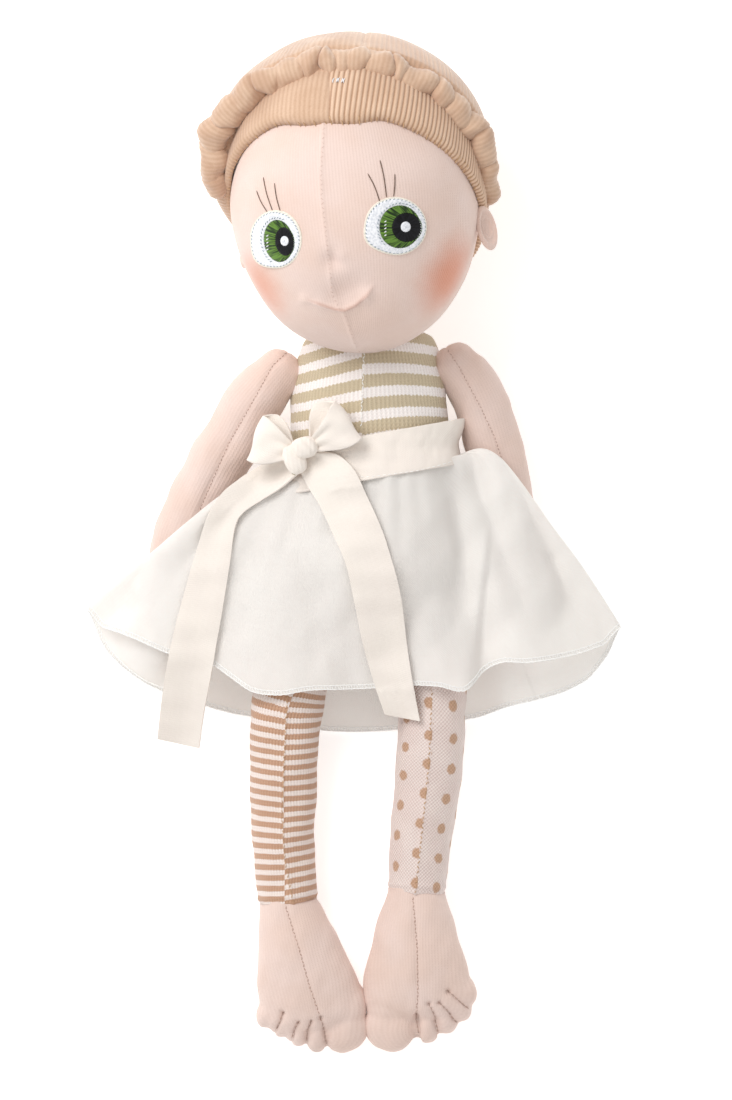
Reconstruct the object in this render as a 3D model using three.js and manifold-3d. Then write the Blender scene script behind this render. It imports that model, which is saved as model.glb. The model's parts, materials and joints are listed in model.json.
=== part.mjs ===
import * as THREE from "three";
import Module from "manifold-3d";

// A soft cloth doll that lies on its back on a table. Millimetres throughout.
// z = 0 is the table, +Z points out of the face, +Y runs from the toes to the crown.
// +X is the doll's own left side, which a viewer of the face sees on the right.

const wasm = await Module();
wasm.setup();

// Clearances
const seam = 0.3; // between two pieces that are sewn or laid together
const pressed = 0.5; // how deep the table presses the back of the head flat

// Head: an egg of stuffing, round about its long axis so that it can turn on the neck
const headY = 115.9;
const headWide = 42.4; // half sizes from here on
const headLong = 50.9;
const headTilt = 6; // degrees that the crown leans to the viewer's left
const headSides = 32;
const headRings = 15;

// Rib-knit band and the velour crown behind it, which the back of the head rests on
const bandGrowth = 2.2; // the band stands this proud of the face
const bandCrownShare = 1.035; // and the band is a little longer towards the crown
const crownLoft = 6; // the crown stands this proud of the sides of the head
const crownBackLoft = 1.1; // and this proud of its back
const crownShift = [-2, 15.4]; // middle of the crown from the middle of the head
const crownUp = 43.7;
const crownDown = 72;
const crownDip = 1.4; // the front of the crown lies this far under the face
const crownBack = headWide + crownBackLoft;
const headCentre = [0, headY, crownBack - pressed];
const crownCentre = [crownShift[0], headY + crownShift[1], headCentre[2]];
const crownWide = headWide + crownLoft;
const crownFront = headWide - crownDip;

// Places on the head as shares of its half sizes from its middle: across, along, out
const onHead = ([across, along, out]) => [
  headCentre[0] + across * headWide,
  headCentre[1] + along * headLong,
  headCentre[2] + out * headWide,
];

// Hairline and roll seat: two sloping planes, each given by a place and its two slopes
const hairline = { placeShares: [0, 0.5835, 0.7854], slopeShares: [0.17, 1.13] };
const rollSeat = { placeShares: [0, 0.9587, 0.4788], slopeShares: [0.05, 0.51] };
const planeSize = 400;
const planeDeep = 1200;

// Gathered velour roll: places on the head from ear to ear over the forehead, and its thickness
const rollHalf = 5.6;
const rollPathShares = [
  [-1.0755, 0.0413, -0.1321, 0.3929],
  [-1.1415, 0.169, -0.0613, 0.7679],
  [-1.1651, 0.3143, 0.0236, 0.875],
  [-1.1462, 0.4538, 0.1085, 0.9107],
  [-1.0236, 0.6267, 0.2193, 0.9286],
  [-0.8066, 0.7859, 0.3302, 0.9286],
  [-0.5, 0.8998, 0.4175, 0.9464],
  [-0.2665, 0.947, 0.4575, 0.9821],
  [-0.0236, 0.9587, 0.4764, 1],
  [0.2005, 0.9332, 0.4741, 0.9643],
  [0.4245, 0.8723, 0.4481, 0.9286],
  [0.6698, 0.7583, 0.3892, 0.9107],
  [0.8538, 0.6248, 0.316, 0.8929],
  [1, 0.4637, 0.2217, 0.875],
  [1.0755, 0.2672, 0.1085, 0.8214],
  [1.0802, 0.1002, 0.0071, 0.6964],
  [1.0613, -0.0079, -0.059, 0.3571],
];
const rollSides = 10;
const rollRings = 34;
const rollEnd = 2.4; // length over which each end is rounded off
const rollEndRings = 2;
const rollPuffs = 15; // gathers along the roll
const rollPuffShare = 0.12;

// Ears: flat loops of jersey. Each sits at an angle round the head and a share along it.
const earLong = 15.5;
const earWide = 7.6;
const earThick = 3;
const earLeft = { alongShare: -0.2, round: 208, out: 3.2, turn: -14, lean: -64 };
const earRight = { alongShare: -0.2503, round: 8.46, out: 3.14, turn: 14, lean: 32 };
const earSides = 10;
const earRings = 6;

// Embroidered eyes, in the plane of the face; each field follows the curve of the head
const eyeThick = 0.7;
const eyeSides = 24;
const eyes = {
  left: {
    lean: 8,
    patch: { atShares: [-0.6297, -0.2377], half: [8.2, 9.3] },
    iris: { atShares: [-0.6061, -0.2475], half: [5.0, 7.0] },
    pupil: { atShares: [-0.5731, -0.2475], half: [3.2, 4.5] },
    glint: { atShares: [-0.5684, -0.2475], half: [1.4, 1.7] },
  },
  right: {
    lean: -8,
    patch: { atShares: [0.3255, -0.1513], half: [10.0, 9.3] },
    iris: { atShares: [0.3608, -0.1591], half: [6.7, 7.3] },
    pupil: { atShares: [0.3986, -0.1552], half: [4.6, 4.8] },
    glint: { atShares: [0.3892, -0.1552], half: [1.7, 1.8] },
  },
};
const patchPointShare = 0.12; // the patch narrows towards its lower end

// Neck stub
const neckRows = [
  [4, 60, 15, 13, 11],
  [3.6, 70, 16, 13, 11.5],
  [2.5, 84, 18, 13, 11.5],
];
const neckSides = 16;
const neckRings = 3;
const neckDome = 2;
const neckDomeRings = 2;

// Torso: centre x, y, z and the half width and half depth, from the shoulders to the seat
const torsoRows = [
  [3.6, 77, 19, 19, 12.5],
  [3.8, 70.4, 19, 21.6, 14.5],
  [4.2, 65, 19, 23.2, 16.8],
  [4.6, 57, 18.6, 25.0, 19.0],
  [4.8, 47, 18.9, 26.5, 18.6],
  [5.2, 38, 19.8, 27.2, 17.6],
  [5.0, 27, 19.9, 27.2, 17.6],
  [4.8, 12, 20.1, 28.7, 17.9],
  [4.6, -4, 20.2, 30.0, 17.8],
  [4.5, -22, 19.5, 28, 15.5],
];
const torsoSides = 28;
const torsoRings = 9;
const shoulderDome = 9;
const seatY = -8.2; // the seat is sewn straight across here

// Arms, with the hand at the far end; each turns on an upright line through its shoulder
const armLeftRows = [
  [-26.0, 58.6, 20, 8.4, 8.2],
  [-31.0, 53.0, 19, 9.7, 9.4],
  [-36.2, 46.2, 17.6, 10.3, 10.0],
  [-42.6, 35.0, 15.5, 10.3, 10.1],
  [-48.8, 24.6, 13.6, 10.2, 10.0],
  [-58.8, 4.4, 10.6, 9.8, 9.8],
  [-62.3, -7.8, 9.2, 8.7, 8.6],
  [-64.9, -19.6, 8.8, 10.2, 8.2],
  [-66.4, -32.6, 8.2, 9.0, 6.9],
];
const armRightRows = [
  [34.6, 61.0, 20, 8.2, 8.0],
  [39.0, 56.0, 19, 9.0, 9.0],
  [42.4, 49.6, 17.6, 9.4, 9.4],
  [45.4, 41.0, 15.6, 9.6, 9.6],
  [48.8, 28.0, 13.4, 9.8, 9.7],
  [52.4, 12.0, 10.9, 9.6, 9.6],
  [55.8, -3.0, 9.2, 8.6, 8.6],
  [58.2, -15.6, 8.8, 10.0, 8.2],
  [59.9, -29.0, 8.2, 9.0, 6.9],
];
const armSides = 16;
const armRings = 10;
const fingers = 4;
const fingerLong = 11; // half length, width and depth of a finger
const fingerWide = 2.2;
const fingerDeep = 4.4;
const fingerSpread = 3.7; // across the hand, from one sewn finger to the next
const fingerStagger = 1.6; // an outer finger starts this much further back for each place
const thumbOut = 9.2;
const thumbBack = 15; // behind the tips' line, to the middle of the thumb
const thumbLong = 6.6;

// Legs; each turns on a level line through its hip
const hipY = -20.4;
const hipHeight = 14.6;
const legLeftRows = [
  [-13.0, hipY, hipHeight, 11.6, 11.8],
  [-16.8, -32, 14.4, 11.9, 11.9],
  [-21.0, -46, 14.1, 12.1, 12.0],
  [-23.5, -58, 13.7, 12.2, 11.9],
  [-24.4, -76.6, 12.2, 11.6, 11.6],
  [-24.6, -100.8, 10.9, 10.8, 10.9],
  [-22.6, -123.2, 10.6, 10.3, 10.4],
];
const legRightRows = [
  [21.6, hipY, hipHeight, 11.6, 11.8],
  [24.2, -32, 14.4, 11.8, 11.9],
  [26.0, -46, 14.1, 11.8, 12.0],
  [26.3, -58, 13.7, 11.7, 11.9],
  [25.5, -74.9, 12.2, 11.5, 11.6],
  [22.2, -104, 10.9, 10.6, 10.9],
  [21.0, -119.6, 10.6, 10.2, 10.4],
];
const legSides = 18;
const legRings = 9;
const hipDome = 11.8;
const domeRings = 4; // rings that round off the end of a limb
const ankleDome = 1.2;

// Feet: x, y, z, half width, half depth from the ankle to the ball of the foot
const footLeftRows = [
  [-22.4, -123.9, 10.6, 10.3, 10.4],
  [-21.2, -131, 11.0, 12.2, 11.3],
  [-19.0, -141, 11.4, 14.9, 11.6],
  [-16.4, -151, 11.2, 16.9, 10.6],
  [-14.4, -161, 10.6, 17.6, 8.9],
  [-13.4, -168, 10.2, 15.6, 7.2],
];
const footRightRows = [
  [21.0, -120.3, 10.6, 10.2, 10.4],
  [20.8, -128, 11.0, 12.6, 11.3],
  [20.6, -138, 11.4, 15.6, 11.6],
  [21.0, -148, 11.2, 18.0, 10.6],
  [21.8, -157, 10.6, 18.4, 8.9],
  [21.4, -164, 10.2, 15.6, 7.2],
];
const footSides = 20;
const footRings = 8;
const footDome = 7;
const footDomeRings = 3;
const toeSides = 8;
const toeRings = 6;
// Toes: middle x, y, the half width and how far the tip reaches past the middle
const toesLeft = [
  [-4.6, -167.0, 7.2, 7.6],
  [-13.2, -168.6, 3.7, 6.4],
  [-19.0, -167.0, 3.5, 5.9],
  [-24.6, -164.4, 3.4, 5.6],
  [-29.6, -161.8, 3.3, 5.2],
];
const toesRight = [
  [13.0, -166.0, 7.8, 7.8],
  [25.0, -165.6, 3.8, 6.4],
  [30.4, -162.8, 3.6, 5.9],
  [35.0, -158.6, 3.5, 5.6],
  [38.0, -153.4, 3.4, 5.2],
];
const toeHeight = 9.4;
const toeDepth = 5.6; // half depth of a toe
const toeSplay = 20; // degrees that a toe at the edge of the foot points outwards

// Sash round the waist, tied in a bow at the front
const clothThick = 1.2;
const sashCentre = [5.0, 31.4];
const sashSlopeShare = 0.18; // it sits higher on the doll's left side
const sashHigh = 14.6;
const sashHalf = [29.2, 19.4];
const sashLevel = 20.2;
const sashSides = 40;

const knotAt = [-16.2, 29.8, 38.9];
const knotHalf = [4.3, 5.2, 3.6];
const knotSides = 14;
const knotRings = 8;
const loopLeft = {
  at: [-20.9, 31.2, 39.2],
  reach: 14.2,
  high: 7.4,
  wide: 13.6,
  turn: 172,
  droop: 12,
};
const loopRight = {
  at: [-11.4, 31.2, 40.8],
  reach: 15.6,
  high: 8.4,
  wide: 14.0,
  turn: 19,
  droop: -22,
};
const loopSides = 22;
const loopNeckShare = 0.42; // the loop is this narrow where the knot gathers it
const loopLevels = 5;

// Tails of the bow: middle line in plan, with the half width at each row
const tailRightLine = [
  [-12.0, 23.6, 5.0],
  [-6.4, 18.8, 6.8],
  [-2.2, 11.0, 7.2],
  [2.6, -0.6, 7.3],
  [6.6, -14.0, 7.3],
  [9.6, -29.0, 7.3],
  [12.6, -44.0, 7.1],
  [15.8, -58.6, 6.6],
];
const tailLeftLine = [
  [-20.8, 23.4, 5.0],
  [-29.0, 17.6, 6.3],
  [-38.6, 9.6, 7.0],
  [-45.4, -0.6, 7.4],
  [-50.4, -12.0, 7.4],
  [-54.4, -30.0, 7.4],
  [-57.4, -47.0, 7.4],
  [-60.2, -68.0, 7.3],
];
const tailSteps = 22;
const tailLift = 1.2; // middle of the tail above the middle of the skirt cloth, less the cloth
const tailEndLevel = 1;
const tailFallShare = 0.5; // a tail comes down this much for each length that it runs
const tailFeel = 2.6; // each place of a tail clears the cloth this far round it

// Skirt: the hem and the side folds as the cloth's middle surface, x, y, z
const waistHalf = [29.6, 19.4];
const waistCentre = [5.3, 20.6, 20.1];
const skirtFoldLeft = [
  [-24.3, 16.6, 20.1],
  [-35.0, 20.4, 24.6],
  [-46.0, 15.2, 26.4],
  [-58.0, 6.0, 24.6],
  [-70.0, -4.0, 18.0],
  [-82.0, -13.6, 11.5],
  [-92.0, -22.0, 8.0],
];
const skirtFoldRight = [
  [34.9, 25.0, 20.1],
  [43.6, 28.8, 25.6],
  [50.4, 26.4, 26.4],
  [57.6, 18.4, 25.0],
  [66.6, 6.0, 19.5],
  [78.6, -9.6, 12.5],
  [91.0, -28.4, 7.0],
];
const frontHem = [
  [-92.0, -22.0, 8.0],
  [-86.6, -28.2, 12],
  [-78.0, -31.4, 20],
  [-64.2, -37.2, 22.4],
  [-48.6, -41.0, 21],
  [-42.0, -45.8, 24],
  [-35.2, -50.4, 27],
  [-26.0, -51.6, 28.6],
  [-16.0, -50.0, 27.6],
  [-4.0, -49.6, 23.4],
  [8.0, -49.0, 23.2],
  [18.0, -48.2, 27.2],
  [28.6, -48.6, 28.8],
  [37.4, -50.2, 25.6],
  [43.6, -43.6, 19],
  [50.4, -40.4, 20.6],
  [60.0, -40.4, 21.6],
  [73.4, -38.2, 15.5],
  [85.0, -34.4, 10],
  [91.0, -28.4, 7.0],
];
const backHem = [
  [-92.0, -22.0, 8.0],
  [-86.0, -35.0, 9],
  [-80.0, -41.5, 11],
  [-72.0, -47.2, 13],
  [-64.0, -51.2, 12],
  [-51.0, -55.4, 7],
  [-42.0, -58.0, 1.2],
  [-26.0, -60.6, 0.8],
  [-10.0, -63.9, 0.8],
  [10.0, -63.9, 0.8],
  [30.0, -61.4, 0.8],
  [42.5, -59.2, 1.2],
  [52.0, -55.8, 7],
  [62.0, -53.4, 11],
  [72.0, -50.4, 11],
  [80.0, -46.0, 9.5],
  [86.4, -38.0, 8.4],
  [91.0, -28.4, 7.0],
];
const skirtColumns = 27; // across the front, and again across the back
const skirtRows = 8;
const tableCloth = 0.72; // middle of the cloth where it lies on the table
const coverGap = 0.8; // clear air between the cloth and what it covers
const armGap = 1.9; // and over the arms
const foldOpen = 1.5; // half the opening of a side fold
const foldRun = 12; // the back layer leaves the fold level within this run
const insideLeft = [-29.6, 20, -38.5, -52]; // where the back layer leaves the table: x, y, x, y
const outsideLeft = [-38.0, 20, -55.0, -52]; // and where it has climbed on the arm
const insideRight = [37.0, 20, 40.6, -52];
const outsideRight = [41.6, 20, 52.5, -52];
const armCoverRun = 9.5; // the cloth comes down beside an arm within this run
const wingLevel = 5.5;
const seatFallShare = 0.4; // below the seat the front layer comes down at this slope
const frontLayerGap = 2.2; // least distance between the two layers' middles

// Colours, roughness
const skin = { color: 0xf0ded0, roughness: 0.9 };
const velour = { color: 0xcdb08e, roughness: 0.95 };
const ribKnit = { color: 0xc9a983, roughness: 0.92 };
const bodyKnit = { color: 0xd9d2bd, roughness: 0.93 };
const stripedKnit = { color: 0xdcbf9b, roughness: 0.93 };
const dottedKnit = { color: 0xe9d8cf, roughness: 0.93 };
const cotton = { color: 0xefe9e1, roughness: 0.88 };
const sashCotton = { color: 0xfaf4e8, roughness: 0.88 };
const whiteThread = { color: 0xf4f4f2, roughness: 0.5 };
const greenThread = { color: 0x5f9431, roughness: 0.5 };
const blackThread = { color: 0x101210, roughness: 0.5 };

const full = Math.PI * 2;
const degree = Math.PI / 180;
const lineSteps = 120; // steps that measure a limb's line
const headingSteps = 200; // parts of a line between the two places that give its heading
const feelSteps = 60; // steps along a limb where cloth feels for it

function solid(points, faces) {
  let volume = 0;
  for (const [a, b, c] of faces) {
    const p = points[a];
    const q = points[b];
    const r = points[c];
    volume += p[0] * (q[1] * r[2] - q[2] * r[1]);
    volume += p[1] * (q[2] * r[0] - q[0] * r[2]);
    volume += p[2] * (q[0] * r[1] - q[1] * r[0]);
  }
  const outward = volume > 0 ? faces : faces.map(([a, b, c]) => [a, c, b]);
  const mesh = new wasm.Mesh({
    numProp: 3,
    vertProperties: new Float32Array(points.flat()),
    triVerts: new Uint32Array(outward.flat()),
  });
  return new wasm.Manifold(mesh);
}

// A closed skin over rings of equal count, drawn to a point at each end.
function skinOver(rings, first, last) {
  const points = [first];
  const faces = [];
  const sides = rings[0].length;
  for (const ring of rings) points.push(...ring);
  points.push(last);
  for (let side = 0; side < sides; side += 1) {
    const next = (side + 1) % sides;
    faces.push([0, 1 + side, 1 + next]);
    for (let ring = 0; ring + 1 < rings.length; ring += 1) {
      const low = 1 + ring * sides;
      const high = low + sides;
      faces.push([low + side, high + side, high + next]);
      faces.push([low + side, high + next, low + next]);
    }
    const end = 1 + (rings.length - 1) * sides;
    faces.push([end + side, points.length - 1, end + next]);
  }
  return solid(points, faces);
}

// A value of a table at a share of its rows, on a smooth curve through them.
function rowAt(rows, share) {
  const along = share * (rows.length - 1);
  const index = Math.min(Math.floor(along), rows.length - 2);
  const part = along - index;
  const pick = (i) => rows[Math.max(0, Math.min(rows.length - 1, i))];
  return rows[0].map((_, column) => {
    const before = pick(index - 1)[column];
    const start = pick(index)[column];
    const stop = pick(index + 1)[column];
    const after = pick(index + 2)[column];
    const slopeIn = (stop - before) / 2;
    const slopeOut = (after - start) / 2;
    const rise = stop - start;
    const square = 3 * rise - 2 * slopeIn - slopeOut;
    const cube = slopeIn + slopeOut - 2 * rise;
    return start + part * (slopeIn + part * (square + part * cube));
  });
}

// The same table read by distance along its line.
function measured(rows) {
  const places = [];
  let long = 0;
  for (let step = 0; step <= lineSteps; step += 1) {
    const row = rowAt(rows, step / lineSteps);
    if (step > 0) {
      const last = places[step - 1].row;
      long += Math.hypot(row[0] - last[0], row[1] - last[1], row[2] - last[2]);
    }
    places.push({ row, long });
  }
  const at = (distance) => {
    const wanted = Math.max(0, Math.min(long, distance));
    let index = 1;
    while (index < lineSteps && places[index].long < wanted) index += 1;
    const low = places[index - 1];
    const high = places[index];
    const part = (wanted - low.long) / (high.long - low.long);
    return low.row.map((value, column) => value + part * (high.row[column] - value));
  };
  return { long, at };
}

// A stuffed limb: rings across a line, rounded off over the dome lengths at its two ends.
function stuffed(rows, sides, rings, domeStart, domeEnd, caps = domeRings, puff = () => 1) {
  const line = measured(rows);
  const places = [];
  for (let ring = 1; ring <= caps; ring += 1) {
    const angle = (ring / caps) * (Math.PI / 2);
    places.push({ along: domeStart * (1 - Math.cos(angle)), size: Math.sin(angle) });
  }
  for (let ring = 1; ring < rings; ring += 1) {
    const along = domeStart + (ring / rings) * (line.long - domeStart - domeEnd);
    places.push({ along, size: 1 });
  }
  for (let ring = caps; ring >= 1; ring -= 1) {
    const angle = (ring / caps) * (Math.PI / 2);
    places.push({ along: line.long - domeEnd * (1 - Math.cos(angle)), size: Math.sin(angle) });
  }
  const step = line.long / headingSteps;
  const ringAt = ({ along, size }) => {
    const [x, y, z, half, deep = half] = line.at(along);
    const ahead = new THREE.Vector3(...line.at(along + step));
    const behind = new THREE.Vector3(...line.at(along - step));
    const heading = ahead.sub(behind).normalize();
    const across = new THREE.Vector3(heading.y, -heading.x, 0).normalize();
    const up = new THREE.Vector3().crossVectors(across, heading).normalize();
    const swell = puff(along / line.long);
    return Array.from({ length: sides }, (_, side) => {
      const angle = (side / sides) * full;
      const sideways = half * size * swell * Math.cos(angle);
      const upwards = deep * size * swell * Math.sin(angle);
      return [
        x + across.x * sideways + up.x * upwards,
        y + across.y * sideways + up.y * upwards,
        z + up.z * upwards,
      ];
    });
  };
  const first = line.at(0).slice(0, 3);
  const last = line.at(line.long).slice(0, 3);
  return skinOver(places.map(ringAt), first, last);
}

// The rows of a limb, run on past the joint so that its round end is centred on the joint.
function capped(rows, reach) {
  const [[x, y, z, ...halves], [nextX, nextY]] = rows;
  const run = Math.hypot(nextX - x, nextY - y);
  const back = reach / run;
  return [[x - (nextX - x) * back, y - (nextY - y) * back, z, ...halves], ...rows];
}

// A ball with different half sizes each way; its poles lie on its own long axis.
function ball(centre, half, sides, rings, tilt = 0) {
  const turn = tilt * degree;
  const place = (x, y, z) => [
    centre[0] + x * Math.cos(turn) - y * Math.sin(turn),
    centre[1] + x * Math.sin(turn) + y * Math.cos(turn),
    centre[2] + z,
  ];
  const loops = [];
  for (let ring = 1; ring < rings; ring += 1) {
    const angle = (ring / rings) * Math.PI;
    const y = -Math.cos(angle);
    loops.push(
      Array.from({ length: sides }, (_, side) => {
        const round = (side / sides) * full;
        const x = Math.sin(angle) * Math.cos(round);
        const z = Math.sin(angle) * Math.sin(round);
        const up = y > 0 ? half.up : half.down;
        const out = z > 0 ? half.front : half.back;
        return place(x * half.wide, y * up, z * out);
      }),
    );
  }
  return skinOver(loops, place(0, -half.down, 0), place(0, half.up, 0));
}

function headBall(growth, lengthShare = 1) {
  const half = {
    wide: headWide + growth,
    front: headWide + growth,
    back: headWide + growth,
    down: headLong + growth,
    up: (headLong + growth) * lengthShare,
  };
  return ball(headCentre, half, headSides, headRings, headTilt);
}

// Everything behind a sloping plane, moved along z by lift.
function behind(plane, lift) {
  const [px, py, pz] = onHead(plane.placeShares);
  const [sx, sy] = plane.slopeShares;
  const corners = [
    [-planeSize, -planeSize],
    [planeSize, -planeSize],
    [planeSize, planeSize],
    [-planeSize, planeSize],
  ];
  const top = corners.map(([x, y]) => [x, y, pz + lift + sx * (x - px) + sy * (y - py)]);
  const bottom = corners.map(([x, y]) => [x, y, -planeDeep]);
  return box(bottom, top);
}

function box(bottom, top) {
  const faces = [
    [0, 2, 1],
    [0, 3, 2],
    [4, 5, 6],
    [4, 6, 7],
    [0, 1, 5],
    [0, 5, 4],
    [1, 2, 6],
    [1, 6, 5],
    [2, 3, 7],
    [2, 7, 6],
    [3, 0, 4],
    [3, 4, 7],
  ];
  return solid([...bottom, ...top], faces);
}

function block(low, high) {
  const corners = (z) => [
    [low[0], low[1], z],
    [high[0], low[1], z],
    [high[0], high[1], z],
    [low[0], high[1], z],
  ];
  return box(corners(low[2]), corners(high[2]));
}

const below = block([-planeSize, -planeSize, -planeSize], [planeSize, planeSize, 0]);

// An upright prism on an outline in plan.
function prism(outline, low, high) {
  const count = outline.length;
  const points = [...outline.map(([x, y]) => [x, y, low]), ...outline.map(([x, y]) => [x, y, high])];
  const shape = outline.map(([x, y]) => new THREE.Vector2(x, y));
  const faces = THREE.ShapeUtils.triangulateShape(shape, []).flatMap(([a, b, c]) => [
    [a, c, b],
    [a + count, b + count, c + count],
  ]);
  for (let side = 0; side < count; side += 1) {
    const next = (side + 1) % count;
    faces.push([side, next, next + count], [side, next + count, side + count]);
  }
  return solid(points, faces);
}

function oval(at, half, lean, pointShare = 0) {
  return Array.from({ length: eyeSides }, (_, side) => {
    const angle = (side / eyeSides) * full;
    const narrow = 1 + pointShare * Math.sin(angle);
    const x = half[0] * narrow * Math.cos(angle);
    const y = half[1] * Math.sin(angle);
    const turn = lean * degree;
    return [
      at[0] + x * Math.cos(turn) - y * Math.sin(turn),
      at[1] + x * Math.sin(turn) + y * Math.cos(turn),
    ];
  });
}

// Head and hair
const hairBehind = behind(hairline, -seam);
const hairFront = behind(hairline, seam);
const crownBehind = behind(rollSeat, -seam);
const crownFrontSide = behind(rollSeat, seam);
const head = headBall(0).subtract(hairFront);
const bandFull = headBall(bandGrowth, bandCrownShare);
const crownHalf = {
  wide: crownWide,
  up: crownUp,
  down: crownDown,
  front: crownFront,
  back: crownBack,
};
const crownBall = ball(crownCentre, crownHalf, headSides, headRings, headTilt);
const puffs = (share) => 1 + rollPuffShare * Math.cos(share * rollPuffs * full);
const grown = { ...crownHalf };
for (const side of Object.keys(grown)) grown[side] += seam;
const crownGrown = ball(crownCentre, grown, headSides, headRings, headTilt);
const rollTube = (more) => {
  const rows = rollPathShares.map(([across, along, out, thick]) => [
    ...onHead([across, along, out]),
    thick * rollHalf + more,
  ]);
  return stuffed(rows, rollSides, rollRings, rollEnd, rollEnd, rollEndRings, puffs);
};
const rollBed = rollTube(seam);
const hairRoll = rollTube(0).subtract(headBall(seam));

const hairBand = bandFull
  .intersect(hairBehind)
  .subtract(crownFrontSide)
  .subtract(rollBed)
  .subtract(below);
const hairCrown = crownBall
  .intersect(crownBehind)
  .intersect(hairBehind)
  .subtract(rollBed)
  .subtract(below);

function ear({ alongShare, round, out, turn, lean }) {
  const reach = headWide * Math.sqrt(1 - alongShare * alongShare) + out;
  const x = reach * Math.cos(round * degree);
  const y = headLong * alongShare;
  const tilt = headTilt * degree;
  const at = [
    headCentre[0] + x * Math.cos(tilt) - y * Math.sin(tilt),
    headCentre[1] + x * Math.sin(tilt) + y * Math.cos(tilt),
    headCentre[2] + reach * Math.sin(round * degree),
  ];
  const half = { wide: earWide / 2, up: earLong / 2, down: earLong / 2 };
  const flat = { ...half, front: earThick / 2, back: earThick / 2 };
  const loop = ball([0, 0, 0], flat, earSides, earRings);
  return loop
    .rotate([0, lean, turn])
    .translate(at)
    .subtract(headBall(seam))
    .subtract(bandFull.intersect(hairFront))
    .subtract(crownGrown.intersect(crownFrontSide));
}

function eyeField(outline, inner) {
  const shell = headBall(seam + eyeThick).subtract(headBall(seam));
  let field = prism(outline, headCentre[2], planeSize).intersect(shell);
  if (inner) field = field.subtract(prism(inner, 0, planeSize));
  return field;
}

// One eye: four fields of thread, each in a hole of the one round it.
function eye({ lean, patch, iris, pupil, glint }) {
  const outline = ({ atShares, half }, more, pointShare = 0) => {
    const [x, y] = onHead([...atShares, 0]);
    return oval([x, y], half.map((value) => value + more), lean, pointShare);
  };
  return {
    patch: eyeField(outline(patch, 0, patchPointShare), outline(iris, seam)),
    iris: eyeField(outline(iris, 0), outline(pupil, seam)),
    pupil: eyeField(outline(pupil, 0), outline(glint, seam)),
    glint: eyeField(outline(glint, 0)),
  };
}

// Body and limbs
const torsoFull = stuffed(torsoRows, torsoSides, torsoRings, shoulderDome, shoulderDome);
const seat = block([-planeSize, -planeSize, -planeSize], [planeSize, seatY, planeSize]);

// The side of the body is pressed in round the shoulder, as wide as the upper arm.
function shoulderWell([[x, y, z], , [, , , wide, deep]]) {
  const round = oval([x, y], [wide + seam, wide + seam], 0);
  return prism(round, z - deep - seam, z + deep + seam);
}

const headGrown = headBall(seam);
const crownSweep = crownGrown.intersect(behind(hairline, seam));

function armBody(rows) {
  const shoulder = rows[0][3];
  return stuffed(capped(rows, shoulder), armSides, armRings, shoulder, footDome);
}

const torso = torsoFull
  .subtract(seat)
  .subtract(headGrown)
  .subtract(crownSweep)
  .subtract(shoulderWell(armLeftRows))
  .subtract(shoulderWell(armRightRows))
  .subtract(below);
const neckBody = stuffed(neckRows, neckSides, neckRings, neckDome, neckDome, neckDomeRings);
const torsoGrownRows = torsoRows.map(([x, y, z, wide, deep]) => [x, y, z, wide + seam, deep + seam]);
const torsoGrown = stuffed(
  torsoGrownRows,
  torsoSides,
  torsoRings,
  shoulderDome,
  shoulderDome,
);
const neck = neckBody.subtract(torsoGrown).subtract(headGrown).subtract(crownSweep);

function hand(body, rows, side) {
  const [x, y, z] = rows[rows.length - 1];
  const [bx, by] = rows[rows.length - 2];
  const heading = Math.atan2(y - by, x - bx);
  const place = (along, across) => [
    x + along * Math.cos(heading) - across * Math.sin(heading),
    y + along * Math.sin(heading) + across * Math.cos(heading),
  ];
  const sewn = ([fx, fy], long, deep) => {
    const half = { wide: fingerWide, up: long, down: long, front: deep, back: deep };
    return ball([fx, fy, z], half, toeSides, toeRings, heading / degree - 90);
  };
  let shape = body;
  for (let finger = 0; finger < fingers; finger += 1) {
    const fromMiddle = finger - (fingers - 1) / 2;
    const back = fingerLong / 2 + Math.abs(fromMiddle) * fingerStagger;
    shape = shape.add(sewn(place(-back, fromMiddle * fingerSpread), fingerLong, fingerDeep));
  }
  return shape.add(sewn(place(-thumbBack, side * thumbOut), thumbLong, fingerWide));
}

const armLeft = hand(armBody(armLeftRows), armLeftRows, 1).subtract(below);
const armRight = hand(armBody(armRightRows), armRightRows, -1).subtract(below);

function leg(rows) {
  return stuffed(capped(rows, hipDome), legSides, legRings, hipDome, ankleDome).subtract(below);
}

function foot(rows, toes) {
  let shape = stuffed(rows, footSides, footRings, ankleDome, footDome, footDomeRings);
  const [middle, , , edge] = rows[rows.length - 1];
  for (const [x, y, wide, tip] of toes) {
    const half = { wide, up: tip, down: tip, front: toeDepth, back: toeDepth };
    const splay = ((x - middle) / edge) * toeSplay;
    shape = shape.add(ball([x, y, toeHeight], half, toeSides, toeRings, splay));
  }
  return shape.subtract(below);
}

// Skirt
const mix = (a, b, share) => a + (b - a) * share;
const ease = (share) => {
  const part = Math.max(0, Math.min(1, share));
  return part * part * (3 - 2 * part);
};

// Value of a table column at a given x; the rows run along x.
function alongX(rows, x, column) {
  let index = 1;
  while (index < rows.length - 1 && rows[index][0] < x) index += 1;
  const low = rows[index - 1];
  const high = rows[index];
  const part = (x - low[0]) / (high[0] - low[0]);
  const share = (index - 1 + Math.max(0, Math.min(1, part))) / (rows.length - 1);
  return rowAt(rows, share)[column];
}

function lineX([x0, y0, x1, y1], y) {
  return mix(x0, x1, (y - y0) / (y1 - y0));
}

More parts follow.
